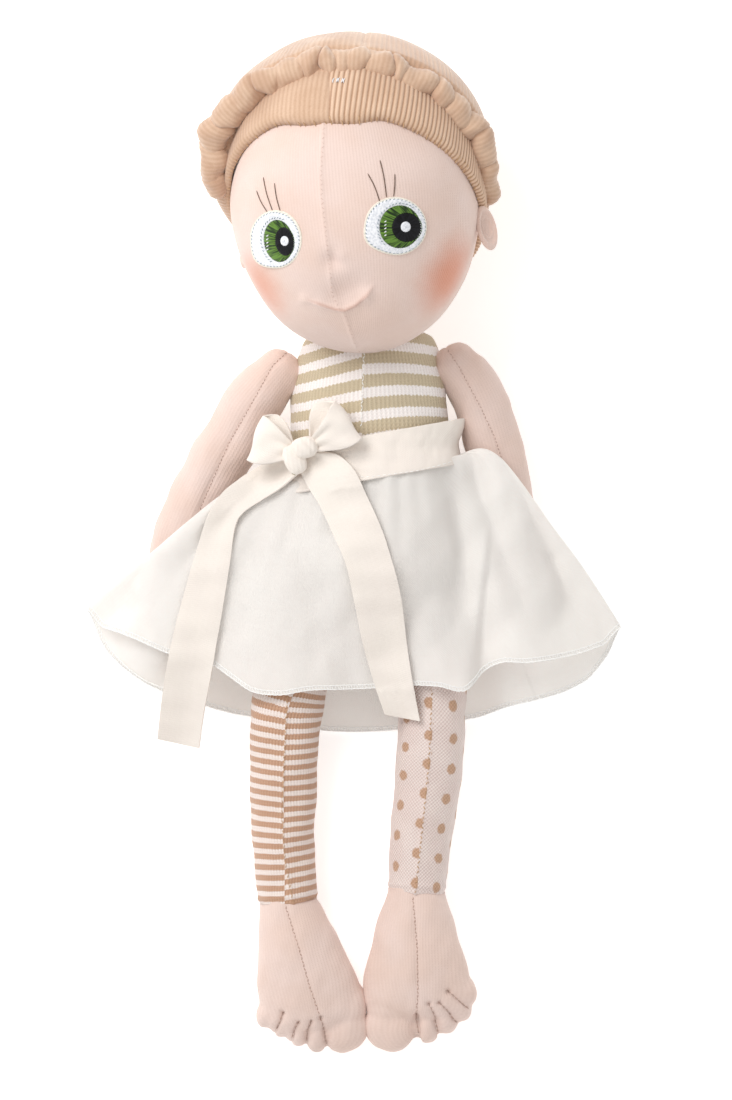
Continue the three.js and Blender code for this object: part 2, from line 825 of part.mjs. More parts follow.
// Height that the cloth needs over a lying limb, seen from above.
function overLimb(rows, x, y, more, run) {
  let best = -planeSize;
  for (let step = 0; step <= feelSteps; step += 1) {
    const [cx, cy, cz, wide, deep] = rowAt(rows, step / feelSteps);
    const away = Math.hypot(x - cx, y - cy) / (wide + run);
    if (away < 1) {
      const height = cz + (deep + more) * (1 - away * away) - cz * away * away;
      best = Math.max(best, height);
    }
  }
  return best;
}

function overTorso(x, y, more) {
  for (let step = feelSteps; step > 0; step -= 1) {
    const [cx, cy, cz, wide, deep] = rowAt(torsoRows, step / feelSteps);
    if (cy >= Math.max(y, seatY)) {
      const away = (x - cx) / (wide + more);
      const fall = Math.max(0, seatY - y) * seatFallShare;
      if (away * away >= 1) return -planeSize;
      return cz + (deep + more) * Math.sqrt(1 - away * away) - fall;
    }
  }
  return -planeSize;
}

const cover = coverGap + clothThick / 2;
const armCover = armGap + clothThick / 2;

// Least height of the cloth over an arm, close round it.
function overArm(x, y) {
  let best = -planeSize;
  for (const rows of [armLeftRows, armRightRows]) {
    for (let step = 0; step <= feelSteps; step += 1) {
      const [cx, cy, cz, wide, deep] = rowAt(rows, step / feelSteps);
      const away = Math.hypot(x - cx, y - cy) / (wide + armCover);
      if (away < 1) best = Math.max(best, cz + (deep + armCover) * Math.sqrt(1 - away * away));
    }
  }
  return best;
}

function backLevel(x, y) {
  const left = ease((lineX(insideLeft, y) - x) / (lineX(insideLeft, y) - lineX(outsideLeft, y)));
  const right = ease(
    (x - lineX(insideRight, y)) / (lineX(outsideRight, y) - lineX(insideRight, y)),
  );
  const arm = Math.max(
    overLimb(armLeftRows, x, y, cover, armCoverRun),
    overLimb(armRightRows, x, y, cover, armCoverRun),
    wingLevel,
  );
  return mix(tableCloth, arm, Math.max(left, right));
}

function frontLevel(x, y) {
  return Math.max(
    overLimb(legLeftRows, x, y, cover, armCoverRun),
    overLimb(legRightRows, x, y, cover, armCoverRun),
    overTorso(x, y, cover),
  );
}

// A point of the cloth: share across from the left fold, share down from the waist.
function clothPoint(across, down, isBack) {
  const hem = isBack ? backHem : frontHem;
  const hemX = mix(hem[0][0], hem[hem.length - 1][0], across);
  const hemPoint = [hemX, alongX(hem, hemX, 1), alongX(hem, hemX, 2)];
  const turn = (1 - across) * Math.PI;
  const side = isBack ? -1 : 1;
  const waistX = waistCentre[0] + waistHalf[0] * Math.cos(turn);
  const waistPoint = [
    waistX,
    waistCentre[1] + sashSlopeShare * (waistX - waistCentre[0]),
    waistCentre[2] + side * waistHalf[1] * Math.sin(turn),
  ];
  const foldL = rowAt(skirtFoldLeft, down);
  const foldR = rowAt(skirtFoldRight, down);
  const first = skirtFoldLeft[0].map((v, i) => mix(v, skirtFoldLeft.at(-1)[i], down));
  const second = skirtFoldRight[0].map((v, i) => mix(v, skirtFoldRight.at(-1)[i], down));
  const point = waistPoint.map((value, axis) => {
    const plain = mix(value, hemPoint[axis], down);
    if (axis === 2) return plain;
    const fromLeft = (1 - across) * (foldL[axis] - first[axis]);
    const fromRight = across * (foldR[axis] - second[axis]);
    return plain + fromLeft + fromRight;
  });
  const [x, y, z] = point;
  const inward = Math.min(x - foldL[0], foldR[0] - x);
  const foldLevel = x - foldL[0] < foldR[0] - x ? foldL[2] : foldR[2];
  const rounded = Math.sqrt(1 - (1 - Math.min(1, inward / foldOpen)) ** 2);
  if (down === 0) return point;
  const part = ease(inward / foldRun);
  const resting = Math.max(backLevel(x, y), tableCloth);
  const lower = Math.max(
    mix(foldLevel - foldOpen * rounded, resting, part),
    overArm(x, y),
    tableCloth,
  );
  if (isBack) return [x, y, lower];
  const upper = Math.max(z, frontLevel(x, y));
  const opened = mix(foldLevel + foldOpen * rounded, upper, part);
  return [x, y, Math.max(opened, lower + frontLayerGap * rounded)];
}

function skirtRing(down) {
  const ring = [];
  for (let column = 0; column < skirtColumns; column += 1) {
    const across = (1 - Math.cos((column / skirtColumns) * Math.PI)) / 2;
    ring.push(clothPoint(across, down, false));
  }
  for (let column = 0; column < skirtColumns; column += 1) {
    const across = (1 + Math.cos((column / skirtColumns) * Math.PI)) / 2;
    ring.push(clothPoint(across, down, true));
  }
  return ring;
}

// Gives a tube of rings the cloth's thickness, half to each side.
function thickTube(rings, thick) {
  const rows = rings.length;
  const sides = rings[0].length;
  const at = (row, side) => new THREE.Vector3(...rings[row][(side + sides) % sides]);
  const outer = [];
  const inner = [];
  for (let row = 0; row < rows; row += 1) {
    for (let side = 0; side < sides; side += 1) {
      const round = at(row, side + 1).sub(at(row, side - 1));
      const down = at(Math.min(row + 1, rows - 1), side).sub(at(Math.max(row - 1, 0), side));
      const normal = round.cross(down).normalize().multiplyScalar(thick / 2);
      const here = at(row, side);
      outer.push(here.clone().add(normal).toArray());
      inner.push(here.clone().sub(normal).toArray());
    }
  }
  const points = [...outer, ...inner];
  const faces = [];
  const quad = (a, b, c, d) => faces.push([a, b, c], [a, c, d]);
  const shift = rows * sides;
  for (let side = 0; side < sides; side += 1) {
    const next = (side + 1) % sides;
    for (let row = 0; row + 1 < rows; row += 1) {
      const low = row * sides;
      const high = low + sides;
      quad(low + side, low + next, high + next, high + side);
      quad(shift + low + side, shift + high + side, shift + high + next, shift + low + next);
    }
    const end = (rows - 1) * sides;
    quad(side, shift + side, shift + next, next);
    quad(end + side, end + next, shift + end + next, shift + end + side);
  }
  return solid(points, faces);
}

const skirtRings = [];
for (let row = 0; row <= skirtRows; row += 1) skirtRings.push(skirtRing(row / skirtRows));
const skirt = thickTube(skirtRings, clothThick);

// Sash
function sashRing(y) {
  return Array.from({ length: sashSides }, (_, side) => {
    const angle = (side / sashSides) * full;
    const x = sashCentre[0] + sashHalf[0] * Math.cos(angle);
    const rise = sashSlopeShare * (x - sashCentre[0]);
    return [x, sashCentre[1] + y + rise, sashLevel + sashHalf[1] * Math.sin(angle)];
  });
}

const sash = thickTube([sashRing(sashHigh / 2), sashRing(-sashHigh / 2)], clothThick);

// Bow
function bowLoop({ at, reach, high, wide, turn, droop }) {
  const rings = [];
  for (let level = 0; level < loopLevels; level += 1) {
    const share = (2 * level) / (loopLevels - 1) - 1;
    rings.push(
      Array.from({ length: loopSides }, (_, side) => {
        const angle = (side / loopSides) * full;
        const x = (reach / 2) * (1 + Math.cos(angle));
        const swell = Math.sin(x / reach * (Math.PI / 2));
        const z = (high / 2) * Math.sin(angle) * mix(loopNeckShare, 1, swell);
        const y = (wide / 2) * share * mix(loopNeckShare, 1, swell);
        return [x, y, z];
      }),
    );
  }
  return thickTube(rings, clothThick).rotate([0, droop, turn]).translate(at);
}

const knotShape = {
  wide: knotHalf[0],
  up: knotHalf[1],
  down: knotHalf[1],
  front: knotHalf[2],
  back: knotHalf[2],
};
const bowKnot = ball(knotAt, knotShape, knotSides, knotRings);

// A tail as rows of five points across, laid over whatever is under it.
function tail(line) {
  const places = line.map(([x, y, wide]) => [x, y, 0, wide]);
  const route = measured(places);
  const gap = route.long / tailSteps;
  const rows = [];
  for (let step = 0; step <= tailSteps; step += 1) {
    const [x, y, , wide] = route.at(step * gap);
    const [ax, ay] = route.at((step + 1) * gap);
    const [bx, by] = route.at((step - 1) * gap);
    const heading = Math.atan2(ay - by, ax - bx);
    const shares = [-1, -1 / 2, 0, 1 / 2, 1];
    rows.push(
      shares.map((share) => {
        const px = x - Math.sin(heading) * wide * share;
        const py = y + Math.cos(heading) * wide * share;
        return [px, py, tailLevel(px, py)];
      }),
    );
  }
  const soften = (row, near) => {
    row.forEach((point, column) => {
      point[2] = Math.max(point[2], near[column][2] - tailFallShare * gap);
    });
  };
  for (let row = 1; row < rows.length; row += 1) soften(rows[row], rows[row - 1]);
  for (let row = rows.length - 2; row >= 0; row -= 1) soften(rows[row], rows[row + 1]);
  return rows;
}

// Height of the middle of whatever cloth or leg lies within feeling distance of a place.
function tailLevel(x, y) {
  let best = tailEndLevel;
  for (const dx of [-tailFeel, 0, tailFeel]) {
    for (const dy of [-tailFeel, 0, tailFeel]) {
      const px = x + dx;
      const py = y + dy;
      const limb = Math.max(frontLevel(px, py), overArm(px, py));
      best = Math.max(best, skirtHeight(px, py), waistLevel(px, py), limb - cover);
    }
  }
  return best;
}

function waistLevel(x, y) {
  const away = (x - sashCentre[0]) / (sashHalf[0] + clothThick);
  const middle = sashCentre[1] + sashSlopeShare * (x - sashCentre[0]);
  if (away * away >= 1 || Math.abs(y - middle) > sashHigh / 2 + seam) return -planeSize;
  return sashLevel + sashHalf[1] * Math.sqrt(1 - away * away);
}

const skirtTriangles = [];
for (let row = 0; row < skirtRows; row += 1) {
  const near = skirtRings[row];
  const far = skirtRings[row + 1];
  for (let column = 0; column < near.length; column += 1) {
    const next = (column + 1) % near.length;
    skirtTriangles.push([near[column], near[next], far[next]], [near[column], far[next], far[column]]);
  }
}

// Highest middle surface of the skirt at a place in plan.
function skirtHeight(x, y) {
  let best = tailEndLevel;
  for (const [a, b, c] of skirtTriangles) {
    const area = (b[0] - a[0]) * (c[1] - a[1]) - (c[0] - a[0]) * (b[1] - a[1]);
    const v = ((x - a[0]) * (c[1] - a[1]) - (c[0] - a[0]) * (y - a[1])) / area;
    const w = ((b[0] - a[0]) * (y - a[1]) - (x - a[0]) * (b[1] - a[1])) / area;
    if (v < 0 || w < 0 || v + w > 1) continue;
    best = Math.max(best, a[2] + v * (b[2] - a[2]) + w * (c[2] - a[2]));
  }
  return best;
}

function thickStrip(rows, thick, lift) {
  const wide = rows[0].length;
  const points = [];
  for (const level of [lift, lift + thick]) {
    for (const row of rows) for (const [x, y, z] of row) points.push([x, y, z + level]);
  }
  const faces = [];
  const quad = (a, b, c, d) => faces.push([a, b, c], [a, c, d]);
  const shift = rows.length * wide;
  for (let row = 0; row + 1 < rows.length; row += 1) {
    for (let column = 0; column + 1 < wide; column += 1) {
      const a = row * wide + column;
      const b = a + wide;
      quad(a, b, b + 1, a + 1);
      quad(shift + a, shift + a + 1, shift + b + 1, shift + b);
    }
    const left = row * wide;
    const right = left + wide - 1;
    quad(left, shift + left, shift + left + wide, left + wide);
    quad(right, right + wide, shift + right + wide, shift + right);
  }
  const end = (rows.length - 1) * wide;
  for (let column = 0; column + 1 < wide; column += 1) {
    quad(column, column + 1, shift + column + 1, shift + column);
    quad(end + column, shift + end + column, shift + end + column + 1, end + column + 1);
  }
  return solid(points, faces);
}

const tailLeft = thickStrip(tail(tailLeftLine), clothThick, tailLift);
const tailRight = thickStrip(tail(tailRightLine), clothThick, tailLift);

// Assembly
const doll = new THREE.Group();
doll.name = "cloth_doll";

function addPiece(name, shape, look) {
  const { vertProperties, triVerts } = shape.getMesh();
  const geometry = new THREE.BufferGeometry();
  geometry.setAttribute("position", new THREE.BufferAttribute(new Float32Array(vertProperties), 3));
  geometry.setIndex(new THREE.BufferAttribute(new Uint32Array(triVerts), 1));
  const material = new THREE.MeshStandardMaterial({ ...look, metalness: 0 });
  const piece = new THREE.Mesh(geometry, material);
  piece.name = name;
  doll.add(piece);
}

addPiece("head", head, skin);
addPiece("hair_band", hairBand, ribKnit);
addPiece("hair_crown", hairCrown, velour);
addPiece("hair_roll", hairRoll, velour);
addPiece("ear_left", ear(earLeft), skin);
addPiece("ear_right", ear(earRight), skin);
for (const [side, place] of Object.entries(eyes)) {
  const fields = eye(place);
  addPiece(`eye_patch_${side}`, fields.patch, whiteThread);
  addPiece(`iris_${side}`, fields.iris, greenThread);
  addPiece(`pupil_${side}`, fields.pupil, blackThread);
  addPiece(`glint_${side}`, fields.glint, whiteThread);
}
addPiece("neck", neck, skin);
addPiece("torso", torso, bodyKnit);
addPiece("arm_left", armLeft, skin);
addPiece("arm_right", armRight, skin);
addPiece("leg_left", leg(legLeftRows), stripedKnit);
addPiece("leg_right", leg(legRightRows), dottedKnit);
addPiece("foot_left", foot(footLeftRows, toesLeft), skin);
addPiece("foot_right", foot(footRightRows, toesRight), skin);
addPiece("skirt", skirt, cotton);
addPiece("sash", sash, sashCotton);
addPiece("bow_knot", bowKnot, sashCotton);
addPiece("bow_loop_left", bowLoop(loopLeft), sashCotton);
addPiece("bow_loop_right", bowLoop(loopRight), sashCotton);
addPiece("bow_tail_left", tailLeft, sashCotton);
addPiece("bow_tail_right", tailRight, sashCotton);

export default doll;
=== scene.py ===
# %% [markdown]
# # A cloth doll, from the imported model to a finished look
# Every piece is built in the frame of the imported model, from the same measures as the solids.
# Each soft solid is replaced by a finer piece made of grids of points, because a grid lets a
# formula gather, pinch and stitch the cloth. Lengths are in millimetres until a mesh is made.

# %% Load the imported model
import json
import math

import bmesh
import bpy
import numpy as np
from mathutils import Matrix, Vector
from mathutils.bvhtree import BVHTree

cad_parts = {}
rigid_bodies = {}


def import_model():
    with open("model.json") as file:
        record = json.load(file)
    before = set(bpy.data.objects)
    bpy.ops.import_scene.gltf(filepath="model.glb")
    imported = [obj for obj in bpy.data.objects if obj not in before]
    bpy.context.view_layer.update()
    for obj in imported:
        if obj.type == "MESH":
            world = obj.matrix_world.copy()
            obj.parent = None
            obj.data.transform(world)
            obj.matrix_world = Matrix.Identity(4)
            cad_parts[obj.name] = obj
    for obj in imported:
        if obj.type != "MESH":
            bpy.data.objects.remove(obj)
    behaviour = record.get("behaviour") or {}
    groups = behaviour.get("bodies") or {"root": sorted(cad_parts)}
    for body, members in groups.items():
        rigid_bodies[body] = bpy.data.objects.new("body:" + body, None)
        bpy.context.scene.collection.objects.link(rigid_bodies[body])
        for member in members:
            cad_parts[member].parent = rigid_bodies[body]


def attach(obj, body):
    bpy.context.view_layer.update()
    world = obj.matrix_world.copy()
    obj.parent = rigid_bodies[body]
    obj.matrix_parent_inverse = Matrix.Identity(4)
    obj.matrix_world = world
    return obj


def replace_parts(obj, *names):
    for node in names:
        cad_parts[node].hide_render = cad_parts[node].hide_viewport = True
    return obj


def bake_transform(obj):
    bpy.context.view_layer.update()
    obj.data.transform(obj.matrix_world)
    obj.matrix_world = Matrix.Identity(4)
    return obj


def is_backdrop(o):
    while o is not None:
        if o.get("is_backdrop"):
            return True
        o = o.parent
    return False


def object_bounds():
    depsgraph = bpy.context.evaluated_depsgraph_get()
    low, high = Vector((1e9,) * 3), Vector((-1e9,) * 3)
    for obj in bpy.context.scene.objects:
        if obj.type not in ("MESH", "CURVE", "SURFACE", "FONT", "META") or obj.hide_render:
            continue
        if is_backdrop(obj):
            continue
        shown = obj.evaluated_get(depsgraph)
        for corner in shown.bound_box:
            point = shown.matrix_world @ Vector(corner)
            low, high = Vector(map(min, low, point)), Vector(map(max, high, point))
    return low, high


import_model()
cad_box = [list(corner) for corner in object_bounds()]
MM = 0.001
scene = bpy.context.scene

# %% [markdown]
# ## Camera
# The doll lies on its back and is seen from straight above, from 12 m away, so that a very
# long lens shows it with no perspective to speak of. The image's long side takes 376 mm at
# the height of the doll's middle.

# %% Camera
view_middle = (3.76, -2.05)
view_long = 376.0
middle_height = 28.0
camera_height = 12028.0
sensor = 36.0
camera_data = bpy.data.cameras.new("camera")
camera = bpy.data.objects.new("camera", camera_data)
scene.collection.objects.link(camera)
camera_data.sensor_width = sensor
camera_data.lens = sensor * (camera_height - middle_height) / view_long
camera_data.clip_end = 100
camera.location = [value * MM for value in (*view_middle, camera_height)]
scene.camera = camera
print(f"lens {camera_data.lens:.0f} mm")

# %% [markdown]
# ## Shader sums
# A finish is easier to read as a formula than as a list of nodes. `Port` wraps one socket:
# sums on it add Math nodes for values, Vector Math for vectors and Mix for colours, and
# `make` adds any other node from its type, its settings and its inputs.

# %% A socket that can be added and multiplied
class Port:
    def __init__(self, tree, socket=None):
        self.tree = tree
        self.socket = socket

    def make(self, kind, settings=None, inputs=None):
        node = self.tree.nodes.new(kind)
        for key, value in (settings or {}).items():
            setattr(node, key, value)
        for key, value in (inputs or {}).items():
            if isinstance(value, Port):
                self.tree.links.new(value.socket, node.inputs[key])
            else:
                node.inputs[key].default_value = value
        return {out.name: Port(self.tree, out) for out in node.outputs if out.enabled}

    @staticmethod
    def kind_of(term):
        if isinstance(term, Port):
            return term.socket.type
        return "VECTOR" if hasattr(term, "__len__") else "VALUE"

    def sum(self, operation, *terms):
        kinds = [self.kind_of(term) for term in terms]
        if "RGBA" in kinds:
            settings = {"data_type": "RGBA", "blend_type": operation}
            return self.make("ShaderNodeMix", settings, {0: 1.0, 6: terms[0], 7: terms[1]})["Result"]
        if "VECTOR" not in kinds:
            return self.make("ShaderNodeMath", {"operation": operation}, dict(enumerate(terms)))["Value"]
        if operation == "MULTIPLY" and "VALUE" in kinds:
            operation = "SCALE"
            vector, scale = sorted(terms, key=lambda term: self.kind_of(term) == "VALUE")
            inputs = {0: vector, 3: scale}
        else:
            inputs = dict(enumerate(terms))
        return self.make("ShaderNodeVectorMath", {"operation": operation}, inputs)["Vector"]

    def __add__(self, other):
        return self.sum("ADD", self, other)

    def __radd__(self, other):
        return self.sum("ADD", other, self)

    def __sub__(self, other):
        return self.sum("SUBTRACT", self, other)

    def __rsub__(self, other):
        return self.sum("SUBTRACT", other, self)

    def __mul__(self, other):
        return self.sum("MULTIPLY", self, other)

    def __rmul__(self, other):
        return self.sum("MULTIPLY", other, self)

    def __truediv__(self, other):
        return self.sum("DIVIDE", self, other)

    def __rtruediv__(self, other):
        return self.sum("DIVIDE", other, self)

    def __pow__(self, other):
        return self.sum("POWER", self, other)

    def wave(self):
        return self.sum("SINE", self)

    def size(self):
        return self.sum("ABSOLUTE", self)

    def part(self):
        return self.sum("FRACT", self)

    def whole(self):
        return self.sum("FLOOR", self)

    def over(self, limit):
        return self.sum("GREATER_THAN", self, limit)

    def least(self, other):
        return self.sum("MINIMUM", self, other)

    def ease(self, low, high):
        settings = {"interpolation_type": "SMOOTHSTEP"}
        return self.make("ShaderNodeMapRange", settings, {0: self, 1: low, 2: high})["Result"]

    def axes(self):
        split = self.make("ShaderNodeSeparateXYZ", None, {0: self})
        return split["X"], split["Y"], split["Z"]

    def vector(self, x, y, z):
        return self.make("ShaderNodeCombineXYZ", None, {0: x, 1: y, 2: z})["Vector"]

    def pick(self, first, second):
        inputs = {0: self, 6: first, 7: second}
        return self.make("ShaderNodeMix", {"data_type": "RGBA"}, inputs)["Result"]

    def noise(self, scale, detail):
        inputs = {"Vector": self, "Scale": scale, "Detail": detail}
        return self.make("ShaderNodeTexNoise", None, inputs)["Fac"]

    def far(self, point):
        settings = {"operation": "DISTANCE"}
        return self.make("ShaderNodeVectorMath", settings, {0: self, 1: point})["Value"]


def shade(red, green, blue):
    """A screen colour from 0 to 255 as the linear colour that a shader takes."""
    def straight(value):
        value /= 255
        return value / 12.92 if value <= 0.04045 else ((value + 0.055) / 1.055) ** 2.4

    return (straight(red), straight(green), straight(blue), 1.0)


print("a fresh cotton white is", [round(v, 2) for v in shade(248, 244, 236)])

# %% [markdown]
# ## How a finish reads its place on the cloth
# Each piece carries two attributes. `place` is where a point lies at rest, for blush and
# other marks that belong to one spot. `lay` runs along the cloth: round the piece, along it.
# Patterns follow `lay`, so a stripe goes round a leg however the leg bends. Thin cloth lets a
# share of the light through, and a faint glow stands for the light that scatters inside it.

# %% A finish from a formula
def finish_of(name, paint, roughness=0.9, sheen=0.25, coat=0.0, thin=0.0, glow=0.0):
    material = bpy.data.materials.new(name)
    material.use_nodes = True
    tree = material.node_tree
    tree.nodes.clear()
    port = Port(tree)
    place = port.make("ShaderNodeAttribute", {"attribute_name": "place"})["Vector"]
    lay = port.make("ShaderNodeAttribute", {"attribute_name": "lay"})["Vector"]
    looks = paint(place, lay)
    inputs = {
        "Base Color": looks["colour"],
        "Roughness": roughness,
        "Sheen Weight": sheen,
        "Sheen Roughness": 0.5,
        "Coat Weight": coat,
        "Specular IOR Level": 0.25,
    }
    if "relief" in looks:
        bump = {"Strength": 1.0, "Distance": looks["deep"] * MM, "Height": looks["relief"]}
        inputs["Normal"] = port.make("ShaderNodeBump", None, bump)["Normal"]
    if glow:
        inputs["Emission Color"] = (1.0, 1.0, 1.0, 1.0)
        inputs["Emission Strength"] = glow
    surface = port.make("ShaderNodeBsdfPrincipled", None, inputs)["BSDF"]
    if thin:
        tint = {"Color": (1.0, 0.995, 0.99, 1.0)}
        through = port.make("ShaderNodeBsdfTranslucent", None, tint)["BSDF"]
        surface = port.make("ShaderNodeMixShader", None, {0: thin, 1: surface, 2: through})["Shader"]
    port.make("ShaderNodeOutputMaterial", None, {"Surface": surface})
    return material


TURN = 2 * math.pi


def knit(lay, wale, course):
    """The loops of a knit as a relief from 0 to 1: columns of small slanting stitches."""
    across, along, _ = lay.axes()
    column = (across * (TURN / wale)).wave()
    loops = (along * (TURN / course) + column * 1.6).wave()
    return column * 0.32 + loops * 0.18 + 0.5


print("finishes are made with finish_of and knit")

# %% [markdown]
# ## Jersey skin
# The skin is a fine cotton jersey, pale peach, with faint columns of knitting and a soft
# mottling from the stuffing behind it. The cheeks are rubbed with coral powder, strongest in
# the middle. The crease of the mouth, which the third number of `lay` marks, is painted
# darker as shade. One function makes the skin of the face and of the limbs.

# %% Skin finish
def skin_paint(blushes):
    def paint(place, lay):
        cloud = place.noise(0.05, 3.0)
        grain = place.noise(1.1, 2.0)
        loops = knit(lay, 1.15, 0.9)
        pale = cloud.ease(0.3, 0.7).pick(shade(227, 202, 190), shade(231, 209, 200))
        light = (grain * 0.5 + loops * 0.5).ease(0.2, 0.8)
        colour = light.pick(pale * (0.955, 0.945, 0.94, 1.0), pale)
        for spot, reach, strength in blushes:
            mottled = place.far(spot) + (cloud - 0.5) * 6 + (grain - 0.5) * 2.5
            powder = (1 - mottled.ease(reach * 0.12, reach)) * strength
            colour = powder.pick(colour, shade(214, 126, 86))
        # Painted shade: darker along the crease of the mouth, where the third number of lay is high.
        colour = lay.axes()[2].pick(colour, shade(186, 138, 120))
        return {"colour": colour, "relief": loops * 0.6 + grain * 0.4, "deep": 0.12}

    return paint


cheek_right = ((32.4, 91.0, 63.0), 20.0, 0.74)
cheek_left = ((-35.5, 86.0, 57.0), 18.5, 0.62)
face_jersey = finish_of("face_jersey", skin_paint([cheek_right, cheek_left]), 0.92, 0.3)
limb_jersey = finish_of("limb_jersey", skin_paint([]), 0.92, 0.3)
print("skin finishes made")

# %% [markdown]
# ## Hair: velour and rib knit
# The cap and its roll are cotton velour: tan, with a nap that shows fine ribs and lighter
# edges, which sheen gives. The band is a rib knit, whose ribs are real relief in the mesh;
# the finish paints shade into the furrows, and paints the fine ribs left of the band's seam
# evenly darker as shade, where the lamp falls on them.

# %% Hair finishes
nap_pitch = 1.55


def velour_paint(place, lay):
    along = lay.axes()[1]
    rib = (along * (TURN / nap_pitch) + (along * 0.9).wave() * 0.5).wave() * 0.5 + 0.5
    nap = place.noise(1.7, 3.0)
    patch = place.noise(0.11, 3.0).ease(0.35, 0.65)
    base = patch.pick(shade(205, 171, 146), shade(221, 191, 166))
    dark = (1 - rib) * 0.30 + (1 - nap) * 0.35
    colour = dark.pick(base, shade(180, 143, 115))
    return {"colour": colour, "relief": rib * 0.5 + nap * 0.5, "deep": 0.3}


def band_paint(place, lay):
    # Painted shade: darker in each furrow between the ribs, and evenly darker over the fine ribs left of
    # the band's seam, where the lamp falls.
    furrow_shade = lay.axes()[2]
    yarn = place.noise(1.6, 2.0)
    patch = place.noise(0.08, 2.0).ease(0.3, 0.7)
    base = patch.pick(shade(210, 177, 150), shade(221, 190, 164))
    colour = (furrow_shade * 0.75 + yarn * 0.25).ease(0.15, 0.95).pick(base, shade(172, 134, 106))
    return {"colour": colour, "relief": yarn, "deep": 0.15}


velour = finish_of("velour", velour_paint, 0.95, 0.6)
rib_knit = finish_of("rib_knit", band_paint, 0.95, 0.35)
print("hair finishes made")

# %% [markdown]
# ## Striped and dotted knits
# The body is knitted in khaki and white. Its two front halves were cut apart, so the
# stripes miss each other at the seam: they climb to it on one side and arch on the other.
# The legs are cut from two more knits, narrow tan stripes and tan dots, and miss in the
# same way. The edge of each colour is ragged, one stitch at a time.

# %% Knit finishes
def body_paint(place, lay):
    x, y, _ = place.axes()
    seam_x = 2.4
    ragged = ((x * (TURN / 1.3)).wave() * 0.16) + (place.noise(0.5, 2.0) - 0.5) * 0.7
    to_right = ((x - seam_x) / 27.6).least(1.0)
    to_left = ((seam_x - x) / 20.4).least(1.3)
    first_right = 63.6 + to_right * 2.42 - to_right * to_right * 4.12
    count_right = (first_right - y + ragged) / (8.1 - to_right * 1.3)
    count_left = (61.9 - to_left * 5.4 - y + ragged) / (7.3 - to_left * 0.9)
    side = x.over(seam_x)
    count = count_right * side + count_left * (1 - side)
    khaki = 1 - ((count + 0.5).part() - 0.5).size().ease(0.25, 0.30)
    yarn = place.noise(1.2, 2.0)
    loops = knit(lay, 1.3, 1.0)
    white = loops.pick(shade(238, 230, 226), shade(253, 248, 245))
    dull = (loops * 0.6 + yarn * 0.4).pick(shade(186, 170, 142), shade(216, 202, 175))
    return {"colour": khaki.pick(white, dull), "relief": loops, "deep": 0.2}


def stripe_paint(place, lay):
    across, along, _ = lay.axes()
    side = across.over(0.0)
    ragged = (across * (TURN / 1.1)).wave() * 0.13 + (place.noise(0.5, 2.0) - 0.5) * 0.5
    sag = across.size() * 0.07
    count = (along + ragged + sag + side * 1.5) / 3.62
    tan = 1 - ((count + 0.5).part() - 0.5).size().ease(0.235, 0.30)
    loops = knit(lay, 1.1, 0.9)
    cream = loops.pick(shade(226, 209, 200), shade(244, 232, 226))
    brown = loops.pick(shade(180, 139, 112), shade(204, 164, 138))
    return {"colour": tan.pick(cream, brown), "relief": loops, "deep": 0.22}


def dot_paint(place, lay):
    across, along, _ = lay.axes()
    side = across.over(0.0)
    shift = across + 7.6 - side * 8.4
    pitch = 9.3
    row = 10.4
    column = (shift / pitch + 0.5).whole()
    from_side = shift - column * pitch
    offset = (column * 0.5).part() * row + side * 1.2
    from_row = ((along + offset) / row).part() * row - row / 2
    fuzz = (place.noise(1.0, 2.0) - 0.5) * 1.1
    away = (from_side * from_side + from_row * from_row) ** 0.5 + fuzz
    dot = 1 - away.ease(1.5, 2.15)
    across_holes = (across * (TURN / 1.3)).wave()
    along_holes = (along * (TURN / 1.3)).wave()
    mesh = (across_holes * along_holes) * 0.5 + 0.5
    open_patch = place.noise(0.09, 2.0).ease(0.35, 0.65)
    ground = mesh.pick(shade(218, 197, 190), shade(241, 229, 223))
    ground = open_patch.pick(ground, ground * (0.97, 0.945, 0.945, 1.0))
    brown = mesh.pick(shade(182, 144, 118), shade(206, 169, 143))
    return {"colour": dot.pick(ground, brown), "relief": mesh, "deep": 0.25}


body_knit = finish_of("body_knit", body_paint, 0.95)
stripe_knit = finish_of("stripe_knit", stripe_paint, 0.95)
dot_knit = finish_of("dot_knit", dot_paint, 0.95)
print("knit finishes made")

# %% [markdown]
# ## Woven cottons and threads
# The skirt is a fine off-white lawn, the sash a creamier cotton with a closer weave. Both
# get a plain weave from two crossed waves, broken by slubs. The threads are smooth and
# shine a little along their length.

# %% Cotton and thread finishes
def woven_paint(warm, cool, pitch, deep):
    def paint(place, lay):
        across, along, _ = lay.axes()
        slub = (lay * (0.9, 0.08, 1.0)).noise(1.0, 2.0)
        over = (lay * (0.08, 0.9, 1.0)).noise(1.0, 2.0)
        weave = (across * (TURN / pitch)).wave() * (along * (TURN / pitch)).wave()
        cloud = (lay * 0.03).noise(1.0, 2.0).ease(0.3, 0.7)
        colour = cloud.pick(warm, cool)
        shadow = (slub + over) * 0.35 + weave * 0.15
        colour = shadow.ease(0.1, 0.6).pick(colour * (0.965, 0.96, 0.955, 1.0), colour)
        return {"colour": colour, "relief": weave * 0.3 + slub * 0.4 + over * 0.3, "deep": deep}

    return paint


def satin_paint(first, second):
    def paint(place, lay):
        stitch, outward_share, _ = lay.axes()
        streak = lay.vector(stitch, outward_share * 0.8, 0.0).noise(1.0, 1.0)
        return {"colour": streak.ease(0.36, 0.64).pick(first, second)}

    return paint


def thread_paint(first, second):
    def paint(place, lay):
        return {"colour": place.noise(1.3, 2.0).ease(0.35, 0.65).pick(first, second)}

    return paint


def thread(name, first, second, roughness=0.55):
    return finish_of(name, thread_paint(shade(*first), shade(*second)), roughness, 0.3, 0.1)


